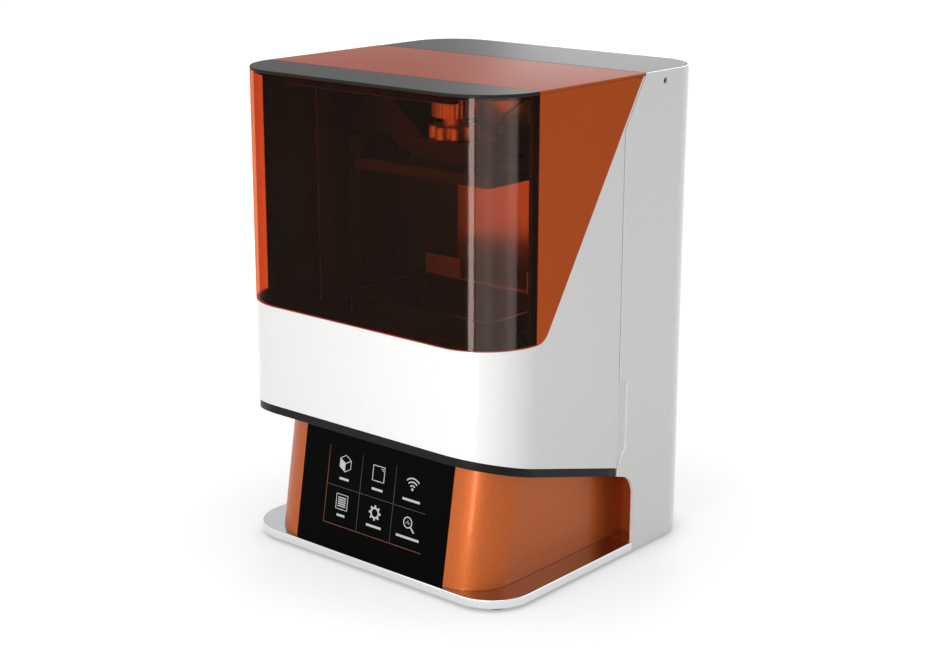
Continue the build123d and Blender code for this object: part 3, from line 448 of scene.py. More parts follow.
def stroke(points, width):
    """A ribbon along a line on the screen: the line moved half the width to either side."""
    points = np.array(points, float)
    along = np.gradient(points, axis=0)
    along /= np.linalg.norm(along, axis=1)[:, None]
    beside = np.column_stack([-along[:, 1], along[:, 0]]) * width / 2
    flat = np.vstack([points + beside, points - beside])
    count = len(points)
    index = np.arange(count - 1)
    faces = np.column_stack([index, index + 1, index + 1 + count, index + count]).tolist()
    return on_screen(np.column_stack([flat, np.full(2 * count, 0.06)])), faces


def loop(centre, radius, start=0.0, end=360.0, steps=24):
    """Points of an arc about a centre, in degrees from the right."""
    turn = np.radians(np.linspace(start, end, steps + 1))
    return np.column_stack([centre[0] + radius * np.cos(turn), centre[1] + radius * np.sin(turn)])


def closed(points):
    """A shape's outline brought back to its first side, so that its last corner is whole."""
    points = np.array(points, float)
    middle = (points[0] + points[1]) / 2
    return np.vstack([middle, points[1:], points[0], middle])


def glow(name, code, strength, ground):
    """An even emission over a dark ground, with no pattern: the panel's light, and also the painted
    orange glint on the glass's edges.
    """
    return blank(name, ground, {"Roughness": 0.4, "Emission Strength": strength,
                                "Emission Color": linear(code)})[0]


def patch(corners):
    """A filled shape on the screen."""
    flat = np.column_stack([np.array(corners, float), np.full(len(corners), 0.06)])
    return on_screen(flat), [list(range(len(corners)))]


screen_left, screen_right = -70.6, 79.0
screen_bottom, screen_top = 26.5, 114.0
tile_width = (screen_right - screen_left) / 3
tile_height = (screen_top - screen_bottom) / 2
row_line = screen_bottom + tile_height
icon_rise = 5.5
label_drops = (15.2, 17.7)
label_halves = ((6.0, 11.0, 16.5), (7.0, 8.0, 12.5))
icon_half = 8.4
icons, frames = [], []
for row in range(2):
    for column in range(3):
        x = screen_left + (column + 0.5) * tile_width
        z = row_line + (row - 0.5) * tile_height + icon_rise
        reach, drop = label_halves[row][column], label_drops[row]
        icons.append(stroke([(x - reach, z - drop), (x + reach, z - drop)], 2.6))
        box_line = closed([(x - icon_half, z - icon_half), (x + icon_half, z - icon_half),
                           (x + icon_half, z + icon_half), (x - icon_half, z + icon_half)])
        mark = 3 * row + column
        if mark == 3:
            corners = loop((x, z), icon_half + 1.0, 30, 390, 6)
            icons.append(stroke(closed(corners[:-1]), 0.9))
            icons.append(patch([(x, z), corners[2], corners[3], (x, z - icon_half - 1.0)]))
            icons += [stroke([(x, z), corners[0]], 0.9), stroke([(x, z), corners[2]], 0.9)]
        if mark == 4:
            icons.append(stroke(box_line, 1.2))
            icons.append(stroke([(x + icon_half - 5.0, z + icon_half - 2.4),
                                 (x + icon_half - 2.4, z + icon_half - 2.4),
                                 (x + icon_half - 2.4, z + icon_half - 5.0)], 0.9))
        if mark == 5:
            icons += [stroke(loop((x, z - 6.0), radius, 45, 135, 14), 1.5)
                      for radius in (4.5, 8.5, 12.5)]
            icons.append(stroke(loop((x, z - 5.6), 0.8, 0, 360, 10), 1.6))
        if mark == 0:
            icons.append(stroke(box_line, 1.1))
            icons += [stroke([(x - 5.8, z + level), (x + 5.8, z + level)], 1.3)
                      for level in (-4.8, -2.4, 0.0, 2.4, 4.8)]
        if mark == 1:
            icons.append(stroke(loop((x, z), 5.4, 0, 360, 32), 2.0))
            icons += [stroke([loop((x, z), 5.8, turn, turn, 1)[0], loop((x, z), 8.6, turn, turn, 1)[0]],
                             2.4) for turn in range(0, 360, 45)]
        if mark == 2:
            icons.append(stroke(loop((x - 1.5, z + 1.5), 5.8, 0, 360, 26), 1.3))
            icons.append(stroke([(x + 2.7, z - 2.7), (x + 8.2, z - 8.2)], 1.9))
            icons.append(stroke([(x - 4.6, z + 0.8), (x - 2.6, z + 0.8), (x - 1.5, z + 4.0),
                                 (x - 0.4, z - 0.6), (x + 1.6, z + 1.6)], 0.7))
for column in (1, 2):
    x = screen_left + column * tile_width
    frames.append(stroke([(x, screen_bottom + 1), (x, screen_top - 1)], 0.45))
frames.append(stroke([(screen_left + 1, row_line), (screen_right - 3.5, row_line)], 0.45))
# The two orange lines along the panel's left and lower edge are a painted glint of the housing, not
# light of the panel.
painted_glint_lines = [stroke([(screen_left, screen_bottom), (screen_left, screen_top)], 0.6),
        stroke([(screen_left, screen_bottom), (screen_right - 4.2, screen_bottom)], 0.6)]
for name, parts, finish in (
        ("screen_icons", icons, glow("screen_light", "#C9C9C9", 0.85, "#0A0A0A")),
        ("screen_tile_lines", frames, glow("screen_line_light", "#5A5A5A", 0.6, "#0A0A0A")),
        ("screen_painted_glint_lines", painted_glint_lines, glow("screen_orange_painted_glint", "#A8481A", 0.6, "#0A0A0A"))):
    drawn = put(name, parts, [finish], "frame")
    depth = drawn.modifiers.new("thin_layer", "SOLIDIFY")
    depth.thickness, depth.offset = 0.00005, -1.0

# Hood shell: a white band round the front and up the sides, moulded in glossy ABS, 4 mm thick.
# The clear coat leaves a faint ripple, and every edge has a small moulded radius.

white_gloss = textured("moulded_white_abs", "#F4F4F3", "#EFEFEE", (0.20, 0.26), 6.0, 0.002,
                       {"Coat Weight": 0.5, "Coat Roughness": 0.05, "IOR": 1.5})
shell_wall = 4.0
under_top = box_mm("hood_shell")[1][2]
top = box_mm("rear_shell")[1][2]
sill = box_mm("front_window")[0][2]
corner_end = box_mm("front_window")[1][1]
corner_radius = corner_end - front
seam = box_mm("hood_trim")[1][1]
window_slope = 0.635
hood_top_rear = box_mm("top_orange_panel")[1][1]
window_top = hood_top_rear - 3.2
window_tip = window_top - window_slope * (top - sill)
window_bend = 20.0
lean_angle = math.atan2(1, window_slope)
bend_reach = window_bend * math.tan(lean_angle / 2)


def window_edge(y):
    """Height of the side window's lower edge: level, then an arc, then the slanted line."""
    y = np.asarray(y, float)
    start = window_tip - bend_reach
    finish = window_tip + bend_reach * math.cos(lean_angle)
    arc = sill + window_bend - np.sqrt(np.maximum(window_bend ** 2 - (y - start) ** 2, 0))
    slanted = top - (window_top - y) / window_slope
    return np.where(y < start, sill, np.where(y < finish, arc, np.minimum(slanted, under_top)))


bend_places = window_tip - bend_reach + window_bend * np.sin(np.linspace(0, lean_angle, 10))
window_end = window_top - window_slope * (top - under_top)
hood_side = np.concatenate([[corner_end + 1], bend_places, np.linspace(bend_places[-1] + 8, seam, 12)])
hood_path = around(half_width, front, corner_radius, hood_side)
hood_gap = 0.15
strip_profile = inset_polygon([(seam - 0.4, top - (window_top + 0.3 - seam + 0.4) / window_slope),
                               (seam - 0.4, top - (hood_top_rear - seam + 0.4) / window_slope),
                               (hood_top_rear - window_slope * (top - under_top), under_top),
                               (window_end + 0.1, under_top)])
strips = []
for low_x in (-half_width, half_width - shell_wall):
    strips.append(facing(plate(strip_profile, low_x, low_x + shell_wall, 0.4), [2, 0, 1]))
matt_inside = textured("matt_black_paint", "#0D0B0A", "#090807", (0.6, 0.7), 0.6, 0.01,
                       {"Specular IOR Level": 0.08})


def inner_faces(centre, normal):
    """The second finish goes on the faces that look towards the chamber's middle."""
    return np.sum(normal[:, :2] * (centre[:, :2] - (0, -40)), axis=1) < -100


put("hood_shell_moulded",
    [wall(hood_path, hood_edge(hood_path[0][:, 1]), window_edge(hood_path[0][:, 1]) - hood_gap,
          shell_wall, 0.8)] + strips,
    [white_gloss, matt_inside], "hood", ["hood_shell"], paint=inner_faces)

# Hood trim: a soft black lip under the hood, moulded in dull TPU, that closes on the deck's rim.
# It is 9.5 mm high and drawn in 1 mm from the white band.

black_lip = textured("moulded_black_tpu", "#0E0E0E", "#0A0A0A", (0.38, 0.5), 0.8, 0.01,
                     {"Specular IOR Level": 0.15})
trim_inset = 1.0
trim_thickness = 7.0
trim_side = np.linspace(corner_end + 1, seam, 8)
trim_path = around(half_width - trim_inset, front + trim_inset, corner_radius - trim_inset, trim_side)
trim_high = hood_edge(trim_path[0][:, 1]) - 0.1
put("hood_trim_lip", [wall(trim_path, trim_high - rim_thickness, trim_high, trim_thickness, 1.2)],
    [black_lip], "hood", ["hood_trim"])

# Front window: 4 mm cast acrylic in a dark amber that holds back the light that sets the resin.
# It is bent round both front corners, and the light that its sawn lower edge gathers is painted on its
# sawn edges as a bright orange glow.


def mirrored(material, share, roughness=0.04, painted_soft_box=()):
    """A polished skin over a material's own shader.

    The mirror's weight is share × (0.04 + 0.96 × facing⁵), where facing is one less the cosine
    of the angle to the surface, and share tells how much of the bright room it returns. Where the
    surface's normal points right, the listed weights are added: a painted reflection in bands that
    stands for a large soft box on the right. Each is given with the part of the surface's normal that
    points right."""
    tree = material.node_tree
    surface = tree.nodes["Material Output"].inputs["Surface"]
    under = surface.links[0].from_socket
    weight = add(material, "ShaderNodeLayerWeight", {"Blend": 0.5})
    fifth = add(material, "ShaderNodeMath", {"operation": "POWER", 1: 5.0},
                {0: weight.outputs["Facing"]})
    level = add(material, "ShaderNodeMapRange", {"To Min": 0.04 * share, "To Max": share},
                {"Value": fifth.outputs[0]}).outputs[0]
    if painted_soft_box:
        normal = add(material, "ShaderNodeSeparateXYZ", {}, {
            0: add(material, "ShaderNodeNewGeometry").outputs["Normal"]})
        painted_reflection_bands = add(material, "ShaderNodeValToRGB", {}, {"Fac": normal.outputs["X"]})
        stops = painted_reflection_bands.color_ramp.elements
        for number, (place, extra) in enumerate(painted_soft_box):
            stop = stops[number] if number < 2 else stops.new(place)
            stop.position, stop.color = place, (extra, extra, extra, 1.0)
        level = add(material, "ShaderNodeMath", {"operation": "ADD"},
                    {0: level, 1: painted_reflection_bands.outputs["Color"]}).outputs[0]
    mirror = add(material, "ShaderNodeBsdfGlossy", {"Color": (1, 1, 1, 1), "Roughness": roughness})
    mixed = add(material, "ShaderNodeMixShader", {}, {0: level, 1: under,
                2: mirror.outputs[0]})
    tree.links.new(mixed.outputs[0], surface)
    return material


def clear_sheet(name, tint):
    """Clear coloured sheet: each face passes the light times its tint.

    Seen at a slant the way through is longer, so there the tint acts nearly twice over."""
    material = bpy.data.materials.new(name)
    material.use_nodes = True
    tree = material.node_tree
    tree.nodes.remove(tree.nodes["Principled BSDF"])
    place = add(material, "ShaderNodeTexCoord").outputs["Object"]
    # The dye in cast sheet drifts a little over a hand's width.
    drift = add(material, "ShaderNodeTexNoise", {"Scale": 1000 / 120, "Detail": 1.0}, {"Vector": place})
    near = add(material, "ShaderNodeMix", {"data_type": "RGBA", 6: tuple(tint) + (1.0,),
               7: tuple(channel * 0.96 for channel in tint) + (1.0,)}, {0: drift.outputs["Fac"]})
    weight = add(material, "ShaderNodeLayerWeight", {"Blend": 0.5})
    steep = add(material, "ShaderNodeMath", {"operation": "POWER", 1: 3.0},
                {0: weight.outputs["Facing"]})
    colour = add(material, "ShaderNodeMix", {"data_type": "RGBA",
                 7: tuple(channel ** 1.9 for channel in tint) + (1.0,)},
                 {0: steep.outputs[0], 6: near.outputs[2]})
    clear = add(material, "ShaderNodeBsdfTransparent", {}, {"Color": colour.outputs[2]})
    tree.links.new(clear.outputs[0], tree.nodes["Material Output"].inputs["Surface"])
    return material


# The added bands brighten the bent corners' mirror: a painted reflection of a soft box.
amber = mirrored(clear_sheet("cast_amber_acrylic", (0.862, 0.500, 0.300)), 0.12, 0.05,
                 ((0.40, 0.0), (1.0, 0.0), (0.42, 0.010), (0.52, 0.010), (0.55, 0.030), (0.60, 0.027),
                  (0.68, 0.036), (0.75, 0.024), (0.83, 0.026), (0.875, 0.042), (0.915, 0.040),
                  (0.93, 0.0)))
amber_edge_glow = textured("amber_edge_painted_glow", "#E0662A", "#C4521C", (0.3, 0.4), 0.5, 0.01)
pane_path = around(half_width, front, corner_radius, np.array([corner_end - 0.15]), 36)
window_gap = 0.15


def sawn_edges(centre, normal):
    """The pane's lower and upper edge take the second finish, a painted glow, its cemented ends the
    third.
    """
    return np.where(np.abs(normal[:, 2]) > 0.8, 1, np.where(normal[:, 1] > 0.9, 2, 0) * (
        centre[:, 1] > corner_end - 1))


put("front_window_bent",
    [wall(pane_path, sill + window_gap, under_top - window_gap, shell_wall, 0.4)],
    [amber, amber_edge_glow, matt_inside], "hood", ["front_window"], paint=sawn_edges)

# Side windows: the same amber sheet, flat and backed by a dark liner, so it reads as a deep
# orange gloss. Each meets the white band along its slanted edge.

orange_gloss = textured("backed_orange_acrylic", "#CF5813", "#C85410", (0.10, 0.14), 40.0, 0.0004,
                        {"IOR": 1.49, "Specular IOR Level": 0.05})
side_run = np.concatenate([[corner_end + 0.15, corner_end + 1], bend_places,
                           np.linspace(bend_places[-1] + 8, window_end - 0.1, 14)])
side_parts = []
for side in (1, -1):
    order = slice(None, None, side)
    run = np.column_stack([np.full(len(side_run), side * half_width), side_run])[order]
    run_normal = np.tile([side, 0.0], (len(side_run), 1))
    lower = np.minimum(window_edge(run[:, 1]) + window_gap, under_top - 1.2)
    side_parts.append(wall((run, run_normal), lower, under_top - window_gap, shell_wall, 0.4))
put("side_windows_flat", side_parts, [orange_gloss], "hood", ["side_windows"])

# Corner tape: black foam tape, 0.7 mm thick and 12 mm wide, on the inner face of the bent pane.
# It runs down the left corner and hides the gap in front of the side liner.

foam_tape = textured("black_foam_tape", "#0C0B0B", "#080707", (0.7, 0.8), 0.5, 0.02,
                     {"Specular IOR Level": 0.2})
liner_low, liner_high = box_mm("hood_side_liners")
tape_thickness, tape_width, tape_gap = 0.7, 12.0, 0.05
tape_radius = corner_radius - shell_wall - tape_gap
tape_end = math.acos((corner_end - liner_low[1] + 0.1) / tape_radius)
tape_turn = np.linspace(tape_end, tape_end - tape_width / tape_radius, 16)
tape_normal = np.column_stack([-np.sin(tape_turn), -np.cos(tape_turn)])
tape_line = tape_radius * tape_normal + (corner_radius - half_width, corner_end)
put("corner_tape", [wall((tape_line, tape_normal), liner_low[2] + 0.4, liner_high[2] - 0.2,
                         tape_thickness, 0.1)], [foam_tape], "hood")

# Top of the hood: a smoked front band and a wide orange panel, 3 mm acrylic cemented to the
# walls, with polished edges. The dark liner under them makes them mirror the room.

smoked = mirrored(textured("smoked_acrylic", "#2A2A29", "#262625", (0.3, 0.4), 40.0, 0.0004,
                           {"IOR": 1.49, "Specular IOR Level": 0.0}), 0.20, 0.38)
orange_top = mirrored(textured("orange_top_acrylic", "#9F4427", "#983F22", (0.3, 0.4), 40.0, 0.0004,
                               {"IOR": 1.49, "Specular IOR Level": 0.0}), 0.165, 0.38)
joint = 0.12


def cut_plan(low, high, radius=corner_radius):
    """The hood's plan outline in front, cut square at the back."""
    return rounded_plan(half_width, low, high, radius, 0.3, 30)


put("top_front_band_smoked", [plate(cut_plan(front, corner_end - joint), under_top, top, 0.5)],
    [smoked], "hood", ["top_front_band"])
panel_profile = inset_polygon([(corner_end + joint, under_top),
                               (hood_top_rear - window_slope * (top - under_top), under_top),
                               (hood_top_rear, top), (corner_end + joint, top)])
put("top_orange_panel_gloss",
    [facing(plate(panel_profile, -half_width, half_width, 0.5), [2, 0, 1])],
    [orange_top, orange_gloss], "hood", ["top_orange_panel"],
    paint=lambda centre, normal: np.abs(normal[:, 0]) > 0.5)

# Column: the fixed rear shell in the same white ABS, with round rear corners, a concave sweep
# over the base plate, a shallow finger grip beside the seam and a bore for each hinge pin.


def cut(piece, cutters):
    """Takes closed shapes out of a piece, one after the other, and keeps its crisp edges."""
    for number, cutter in enumerate(cutters):
        mesh = bpy.data.meshes.new(f"cutter_{number}")
        mesh.from_pydata(cutter[0] / 1000, [], cutter[1])
        work = bmesh.new()
        work.from_mesh(mesh)
        bmesh.ops.recalc_face_normals(work, faces=work.faces)
        work.to_mesh(mesh)
        work.free()
        tool = bpy.data.objects.new(f"cutter_{number}", mesh)
        bpy.context.scene.collection.objects.link(tool)
        step = piece.modifiers.new("cut", "BOOLEAN")
        step.operation, step.solver, step.object = "DIFFERENCE", "EXACT", tool
        shaped = bpy.data.meshes.new_from_object(piece.evaluated_get(
            bpy.context.evaluated_depsgraph_get()))
        piece.modifiers.clear()
        piece.data = shaped
        bpy.data.objects.remove(tool)
    piece.data.set_sharp_from_angle(angle=math.radians(35))


def brick(low, high):
    """A plain cutter between two corners."""
    grid = np.array([[low[0], low[1]], [high[0], low[1]], [high[0], high[1]], [low[0], high[1]]])
    rings = np.array([np.column_stack([grid, np.full(4, level)]) for level in (low[2], high[2])])
    return loft(rings)


column_low = box_mm("rear_shell")[0]
column_front = column_low[1]
column_foot = seam + 33.5
column_sweep = 30.0
rear_corner = 60.0
cover_front = box_mm("top_cover")[0][1]
rim_width = 1.6
sweep_middle = column_foot - column_sweep
slope_length = math.hypot(1, hood_edge_slope)
sweep_centre = rim_bottom(sweep_middle) - column_sweep * slope_length
sweep_start = sweep_middle + column_sweep * hood_edge_slope / slope_length
sweep_angle = np.linspace(math.asin((sweep_start - sweep_middle) / column_sweep), math.pi / 2, 14)
sweep_places = sweep_middle + column_sweep * np.sin(sweep_angle)
cover_low_place = cover_front - window_slope * (top - under_top)
cover_places = np.linspace(cover_front + 8, rear - rear_corner - 1, 8)
column_side = np.concatenate([[column_front, column_front + 4], sweep_places, [column_foot + 0.02],
                              [cover_low_place, cover_front], cover_places])
flipped = around(half_width, -rear, rear_corner, -column_side[::-1], 28)
column_path = (flipped[0] * (1, -1), flipped[1] * (1, -1))
place_y = column_path[0][:, 1]
sweep_height = sweep_centre + np.sqrt(np.maximum(column_sweep ** 2
                                                 - (place_y - sweep_middle) ** 2, 0))
column_lower = np.where(place_y < sweep_start, rim_bottom(place_y), sweep_height)
column_lower = np.where(place_y > column_foot + 0.01, plate_bottom, column_lower)
column_upper = np.where(place_y < cover_front, top - (cover_front - place_y) / window_slope, top)
column_seat = np.minimum(column_upper, under_top)
offset, height, draw = section(column_lower, column_seat, shell_wall, 0.6)
is_rim = np.zeros(len(offset), bool)
is_rim[5:10] = True
height = np.where(is_rim, height + (column_upper - column_seat)[:, None], height)
ledge = 10
step_offset = np.array([rim_width - 0.4, rim_width, rim_width])
step_height = np.column_stack([column_upper, column_upper - 0.4, column_seat])
step_draw = np.array([[0, -1.0], [-0.7, -0.7], [0, -1.0]])
offset = np.insert(offset, [ledge] * 3, step_offset)
height = np.insert(height, [ledge] * 3, step_height, axis=1)
draw = np.insert(draw, [ledge] * 3, step_draw, axis=0)
column = put("rear_shell_moulded", [carry(column_path, offset, height, draw, 0.6)], [white_gloss],
             "frame", ["rear_shell"])
panel_low, panel_high = box_mm("socket_plate")[0], box_mm("rear_panel")[1]
panel_clearance = 0.3
panel_ledge = 8.0
pin_low, pin_high = box_mm("hinge_pins")
pivot_y, pivot_z = (pin_low[1] + pin_high[1]) / 2, (pin_low[2] + pin_high[2]) / 2
pin_bore = 3.4
bore_points, bore_faces = turned([(pin_bore, -half_width - 5), (pin_bore, half_width + 5)], 0, 0, 40)
bore = (bore_points[:, [2, 1, 0]] + (0, pivot_y, pivot_z), bore_faces)
grip_depth = 2.2
grip_rear, grip_top, grip_bottom, grip_tip = column_front + 15.0, 209.0, 131.0, 113.0
grip_corners = np.array([(column_front - 3, grip_tip), (column_front, grip_tip),
                         (grip_rear, grip_bottom), (grip_rear, grip_top), (column_front - 3, grip_top)])
grips = []
for ends in ((half_width - grip_depth, half_width + 3), (-half_width - 3, grip_depth - half_width)):
    grips.append(loft(np.array([np.column_stack([np.full(5, level), grip_corners])
                                for level in ends])))
recess = panel_clearance * np.array([1, 0, 1])
cut(column, [brick(panel_low - recess, panel_high + recess + (0, 3, 0)),
             brick(panel_low + (panel_ledge, -8, panel_ledge),
                   panel_high + (-panel_ledge, 3, -panel_ledge)),
             bore] + grips)

# Rear top cover: a smoked acrylic plate let into the column's rim, 0.8 mm clear all round. It
# lies on the column's ledge with its top level with the rim.

smoked_grey = mirrored(textured("smoked_grey_acrylic", "#3A3A39", "#353534", (0.3, 0.4), 40.0, 0.0004,
                                {"IOR": 1.49, "Specular IOR Level": 0.0}), 0.20, 0.38)
cover_low, cover_high = box_mm("top_cover")
put("top_cover_smoked",
    [plate(rounded_plan(cover_high[0], cover_low[1], cover_high[1], 0.3,
                        rear_corner - 2.4, 30), under_top, top, 0.5)],
    [smoked_grey], "frame", ["top_cover"])

# Chamber and machinery: folded sheet, milled and anodised aluminium, ground steel and moulded
# plastic. Each imported node keeps its shape and gets the finish of its real material, except the
# hinge pins, whose dull black is painted shade in their bores.

powder_coat = textured("dark_powder_coat", "#120F0D", "#0D0B0A", (0.5, 0.62), 0.7, 0.02,
                       {"IOR": 1.5, "Specular IOR Level": 0.25})
grey_coat = textured("grey_powder_coat", "#8C8C8E", "#7F7F82", (0.45, 0.58), 0.7, 0.02)
black_anodised = textured("black_anodised_aluminium", "#1A1A1B", "#232324", (0.28, 0.38), 0.5, 0.004,
                          {"Metallic": 0.7}, edge=0.5)
clear_anodised = textured("clear_anodised_aluminium", "#C4C4C7", "#B4B4B8", (0.34, 0.44), 0.5, 0.002,
                          {"Metallic": 1.0})
brushed_steel = textured("brushed_steel", "#B8B8BA", "#9FA0A2", (0.30, 0.42), 0.8, 0.002,
                         {"Metallic": 1.0}, stretch=(1, 1, 0.04))
mirror_steel = textured("fine_brushed_steel", "#D2D0CC", "#C2C0BC", (0.16, 0.22), 0.6, 0.0006,
                        {"Metallic": 1.0}, stretch=(1, 1, 0.03))
black_abs = textured("moulded_black_abs", "#121212", "#0D0D0D", (0.42, 0.52), 0.9, 0.01,
                     {"Specular IOR Level": 0.25})
black_panel = textured("masking_screen", "#050506", "#08080A", (0.05, 0.09), 5.0, 0.0002, {"IOR": 1.5})
green_laminate = textured("circuit_board_laminate", "#14502E", "#0F4226", (0.35, 0.45), 1.2, 0.01)
white_laminate = textured("white_board_laminate", "#E4E4E0", "#D8D8D4", (0.4, 0.5), 1.2, 0.01)
clear_film = mirrored(clear_sheet("release_film", (0.90, 0.92, 0.94)), 1.0)
finish_of = {
    "dark_sheet": powder_coat, "grey_sheet": grey_coat, "black_aluminium": black_anodised,
    "anodised_aluminium": clear_anodised, "steel": brushed_steel, "black_plastic": black_abs,
    "black_glass": black_panel, "green_board": green_laminate, "white_plastic": white_laminate,
    "clear_film": clear_film, "rubber": rubber, "polished_aluminium": polished,
    "orange_metallic": lacquer, "white_shell": white_gloss, "amber_window": amber,
    "orange_panel": orange_gloss, "dark_cover": smoked,
}
for part in frame["record"]["subparts"]:
    node = frame["nodes"][part["node"]]
    for place in node.material_slots:
        place.material = finish_of[part["material_slot"]]
# The hinge pins take the dull black of the foam tape: painted shade deep in their bores, in place of
# their steel.
for node, finish in (("hinge_pins", foam_tape), ("bright_back_panel", mirror_steel),
                     ("hood_roof_liner", matt_inside), ("hood_light_bar", matt_inside)):
    for place in frame["nodes"][node].material_slots:
        place.material = finish

# Clamp knob and nut: turned from aluminium bar and clear anodised. The knob has 28 fine flutes for
# the fingers, and the nut under it eight round lobes. Both sit on the platform's stud.

stud_x, stud_y = np.array(box_mm("clamp_nut"))[:, :2].mean(axis=0)
knob_bottom, knob_top = box_mm("clamp_knob")[:, 2]
nut_bottom, nut_top = box_mm("clamp_nut")[:, 2]
knob_radius, knob_height, neck_radius = 24.5, 22.5, 12.5
flutes, flute_depth = 28, 0.5
lobes, lobe_radius, lobe_pitch, nut_core = 8, 7.0, 20.5, 20.5
turned_aluminium = textured("turned_aluminium", "#D0CECC", "#C3C2C1", (0.52, 0.60), 0.4, 0.001,
                            {"Metallic": 1.0}, stretch=(1, 1, 6))


def fluted(radius, angle):
    """Depth under the full circle: (1/2 − cos(28 angle)/2)² times the flute's depth, at the rim."""
    return np.where(radius > knob_radius - 2, flute_depth, 0) * (0.5 - 0.5 * np.cos(flutes * angle)) ** 2


def lobed(radius, angle):
    """Depth under the full circle, scaled with the radius.

    The outline is the larger of the core and a lobe, which is a circle about its own centre:
    pitch cos d + √(lobe² − pitch² sin² d), where d is the angle from the lobe's middle."""
    step = 2 * math.pi / lobes
    away = (angle + step / 2) % step - step / 2
    lobe = lobe_pitch * np.cos(away) + np.sqrt(np.maximum(lobe_radius ** 2
                                                          - (lobe_pitch * np.sin(away)) ** 2, 0))
    full = lobe_pitch + lobe_radius
    return radius * (1 - np.maximum(lobe, nut_core) / full)


rim_low = knob_top - knob_height
knob_profile = [(neck_radius - 0.5, knob_bottom), (neck_radius, knob_bottom + 0.5),
                (neck_radius, rim_low - 0.01), (knob_radius - 4, rim_low), (knob_radius - 1, rim_low),
                (knob_radius - 0.3, rim_low + 0.3), (knob_radius, rim_low + 1),
                (knob_radius, knob_top - 1.5), (knob_radius - 0.4, knob_top - 0.5),
                (knob_radius - 1.4, knob_top), (knob_radius - 5, knob_top),
                (knob_radius - 5.5, knob_top - 0.5), (knob_radius - 6, knob_top - 1),
                (4, knob_top - 1), (3.4, knob_top - 1.6)]
put("clamp_knob_turned", [turned(knob_profile, stud_x, stud_y, flutes * 12, fluted)],
    [turned_aluminium], "clamp_knob", ["clamp_knob"])
nut_full = lobe_pitch + lobe_radius
nut_profile = [(nut_full - 4, nut_bottom), (nut_full - 0.8, nut_bottom), (nut_full, nut_bottom + 0.8),
               (nut_full, nut_top - 1.0), (nut_full - 0.3, nut_top - 0.3), (nut_full - 1.0, nut_top),
               (nut_full - 4, nut_top), (neck_radius + 1.2, nut_top),
               (neck_radius + 0.7, nut_top - 0.5)]
put("clamp_nut_turned", [turned(nut_profile, stud_x, stud_y, lobes * 32, lobed)],
    [turned_aluminium], "clamp_nut", ["clamp_nut"])

# Hood sensor: a thin black cable in front of the back wall, from under the roof to a small
# plunger turned from aluminium.

tip = np.array([10.9, 42.2, 462.2])
bend, head = np.array([12.2, 42.2, 477.0]), np.array([46.5, 42.2, 501.8])


def tube(points, radius, sides=12):
    """A round rod along a path: a circle about each point, square to the way on."""
    points = np.array(points, float)
    along = np.gradient(points, axis=0)
    along /= np.linalg.norm(along, axis=1)[:, None]
    across = np.cross(along, (0, 1, 0))
    across /= np.linalg.norm(across, axis=1)[:, None]
    other = np.cross(along, across)
    turn = np.linspace(0, 2 * math.pi, sides, endpoint=False)[None, :, None]
    circle = np.cos(turn) * across[:, None] + np.sin(turn) * other[:, None]
    return loft(points[:, None] + radius * circle)


share = np.linspace(0, 1, 9)[:, None]
curve = (1 - share) ** 2 * (bend - (0, 0, 5)) + 2 * share * (1 - share) * bend + share ** 2 * (
    bend + 0.15 * (head - bend))
put("sensor_cable", [tube(np.vstack([tip + (0, 0, 4), curve, head]), 0.8)], [black_abs], "frame")
plunger = [(1.2, tip[2] - 4.0), (2.2, tip[2] - 3.4), (2.2, tip[2] + 1.6), (1.5, tip[2] + 2.2),
           (1.5, tip[2] + 5.0), (1.2, tip[2] + 5.4)]
put("sensor_plunger", [turned(plunger, tip[0], tip[1] - 1.0, 24)], [turned_aluminium], "frame")

# Chamber light: a strip of opal acrylic pressed into the underside of the light bar, which
# spreads the light of the diodes above it.

opal = textured("opal_acrylic", "#E9E8E2", "#DFDED8", (0.3, 0.4), 3.0, 0.002, {"IOR": 1.49})
bar_low, bar_high = box_mm("hood_light_bar")
lens_margin, lens_drop = 3.0, 0.8
put("light_bar_lens",
    [plate(inset_polygon([(bar_low[0] + lens_margin, bar_low[1] + lens_margin),
                          (bar_high[0] - lens_margin, bar_low[1] + lens_margin),
                          (bar_high[0] - lens_margin, bar_high[1] - lens_margin),
                          (bar_low[0] + lens_margin, bar_high[1] - lens_margin)]),
           bar_low[2] - lens_drop, bar_low[2] + 0.5, 0.3)],
    [opal], "hood")

# Screws: steel socket heads, blackened. Button heads hold the deck and the tower's cover, and
# countersunk ones lie flush in the two back panels and over the fan.

black_oxide = textured("black_oxide_steel", "#2A2A2B", "#1F1F20", (0.32, 0.42), 0.5, 0.004,
                       {"Metallic": 0.8})


def socket_screw(place, order, radius, rise):
    """A round head with a socket, turned about its axis and laid along the wanted direction."""
    profile = [(radius, -0.3), (radius, 0.4 * rise), (0.92 * radius, 0.8 * rise), (0.7 * radius, rise),
               (0.5 * radius, rise), (0.46 * radius, -0.1), (0.2 * radius, -0.2)]
    points, faces = turned(profile, 0, 0, 24)
    return points[:, order] + np.array(place), faces


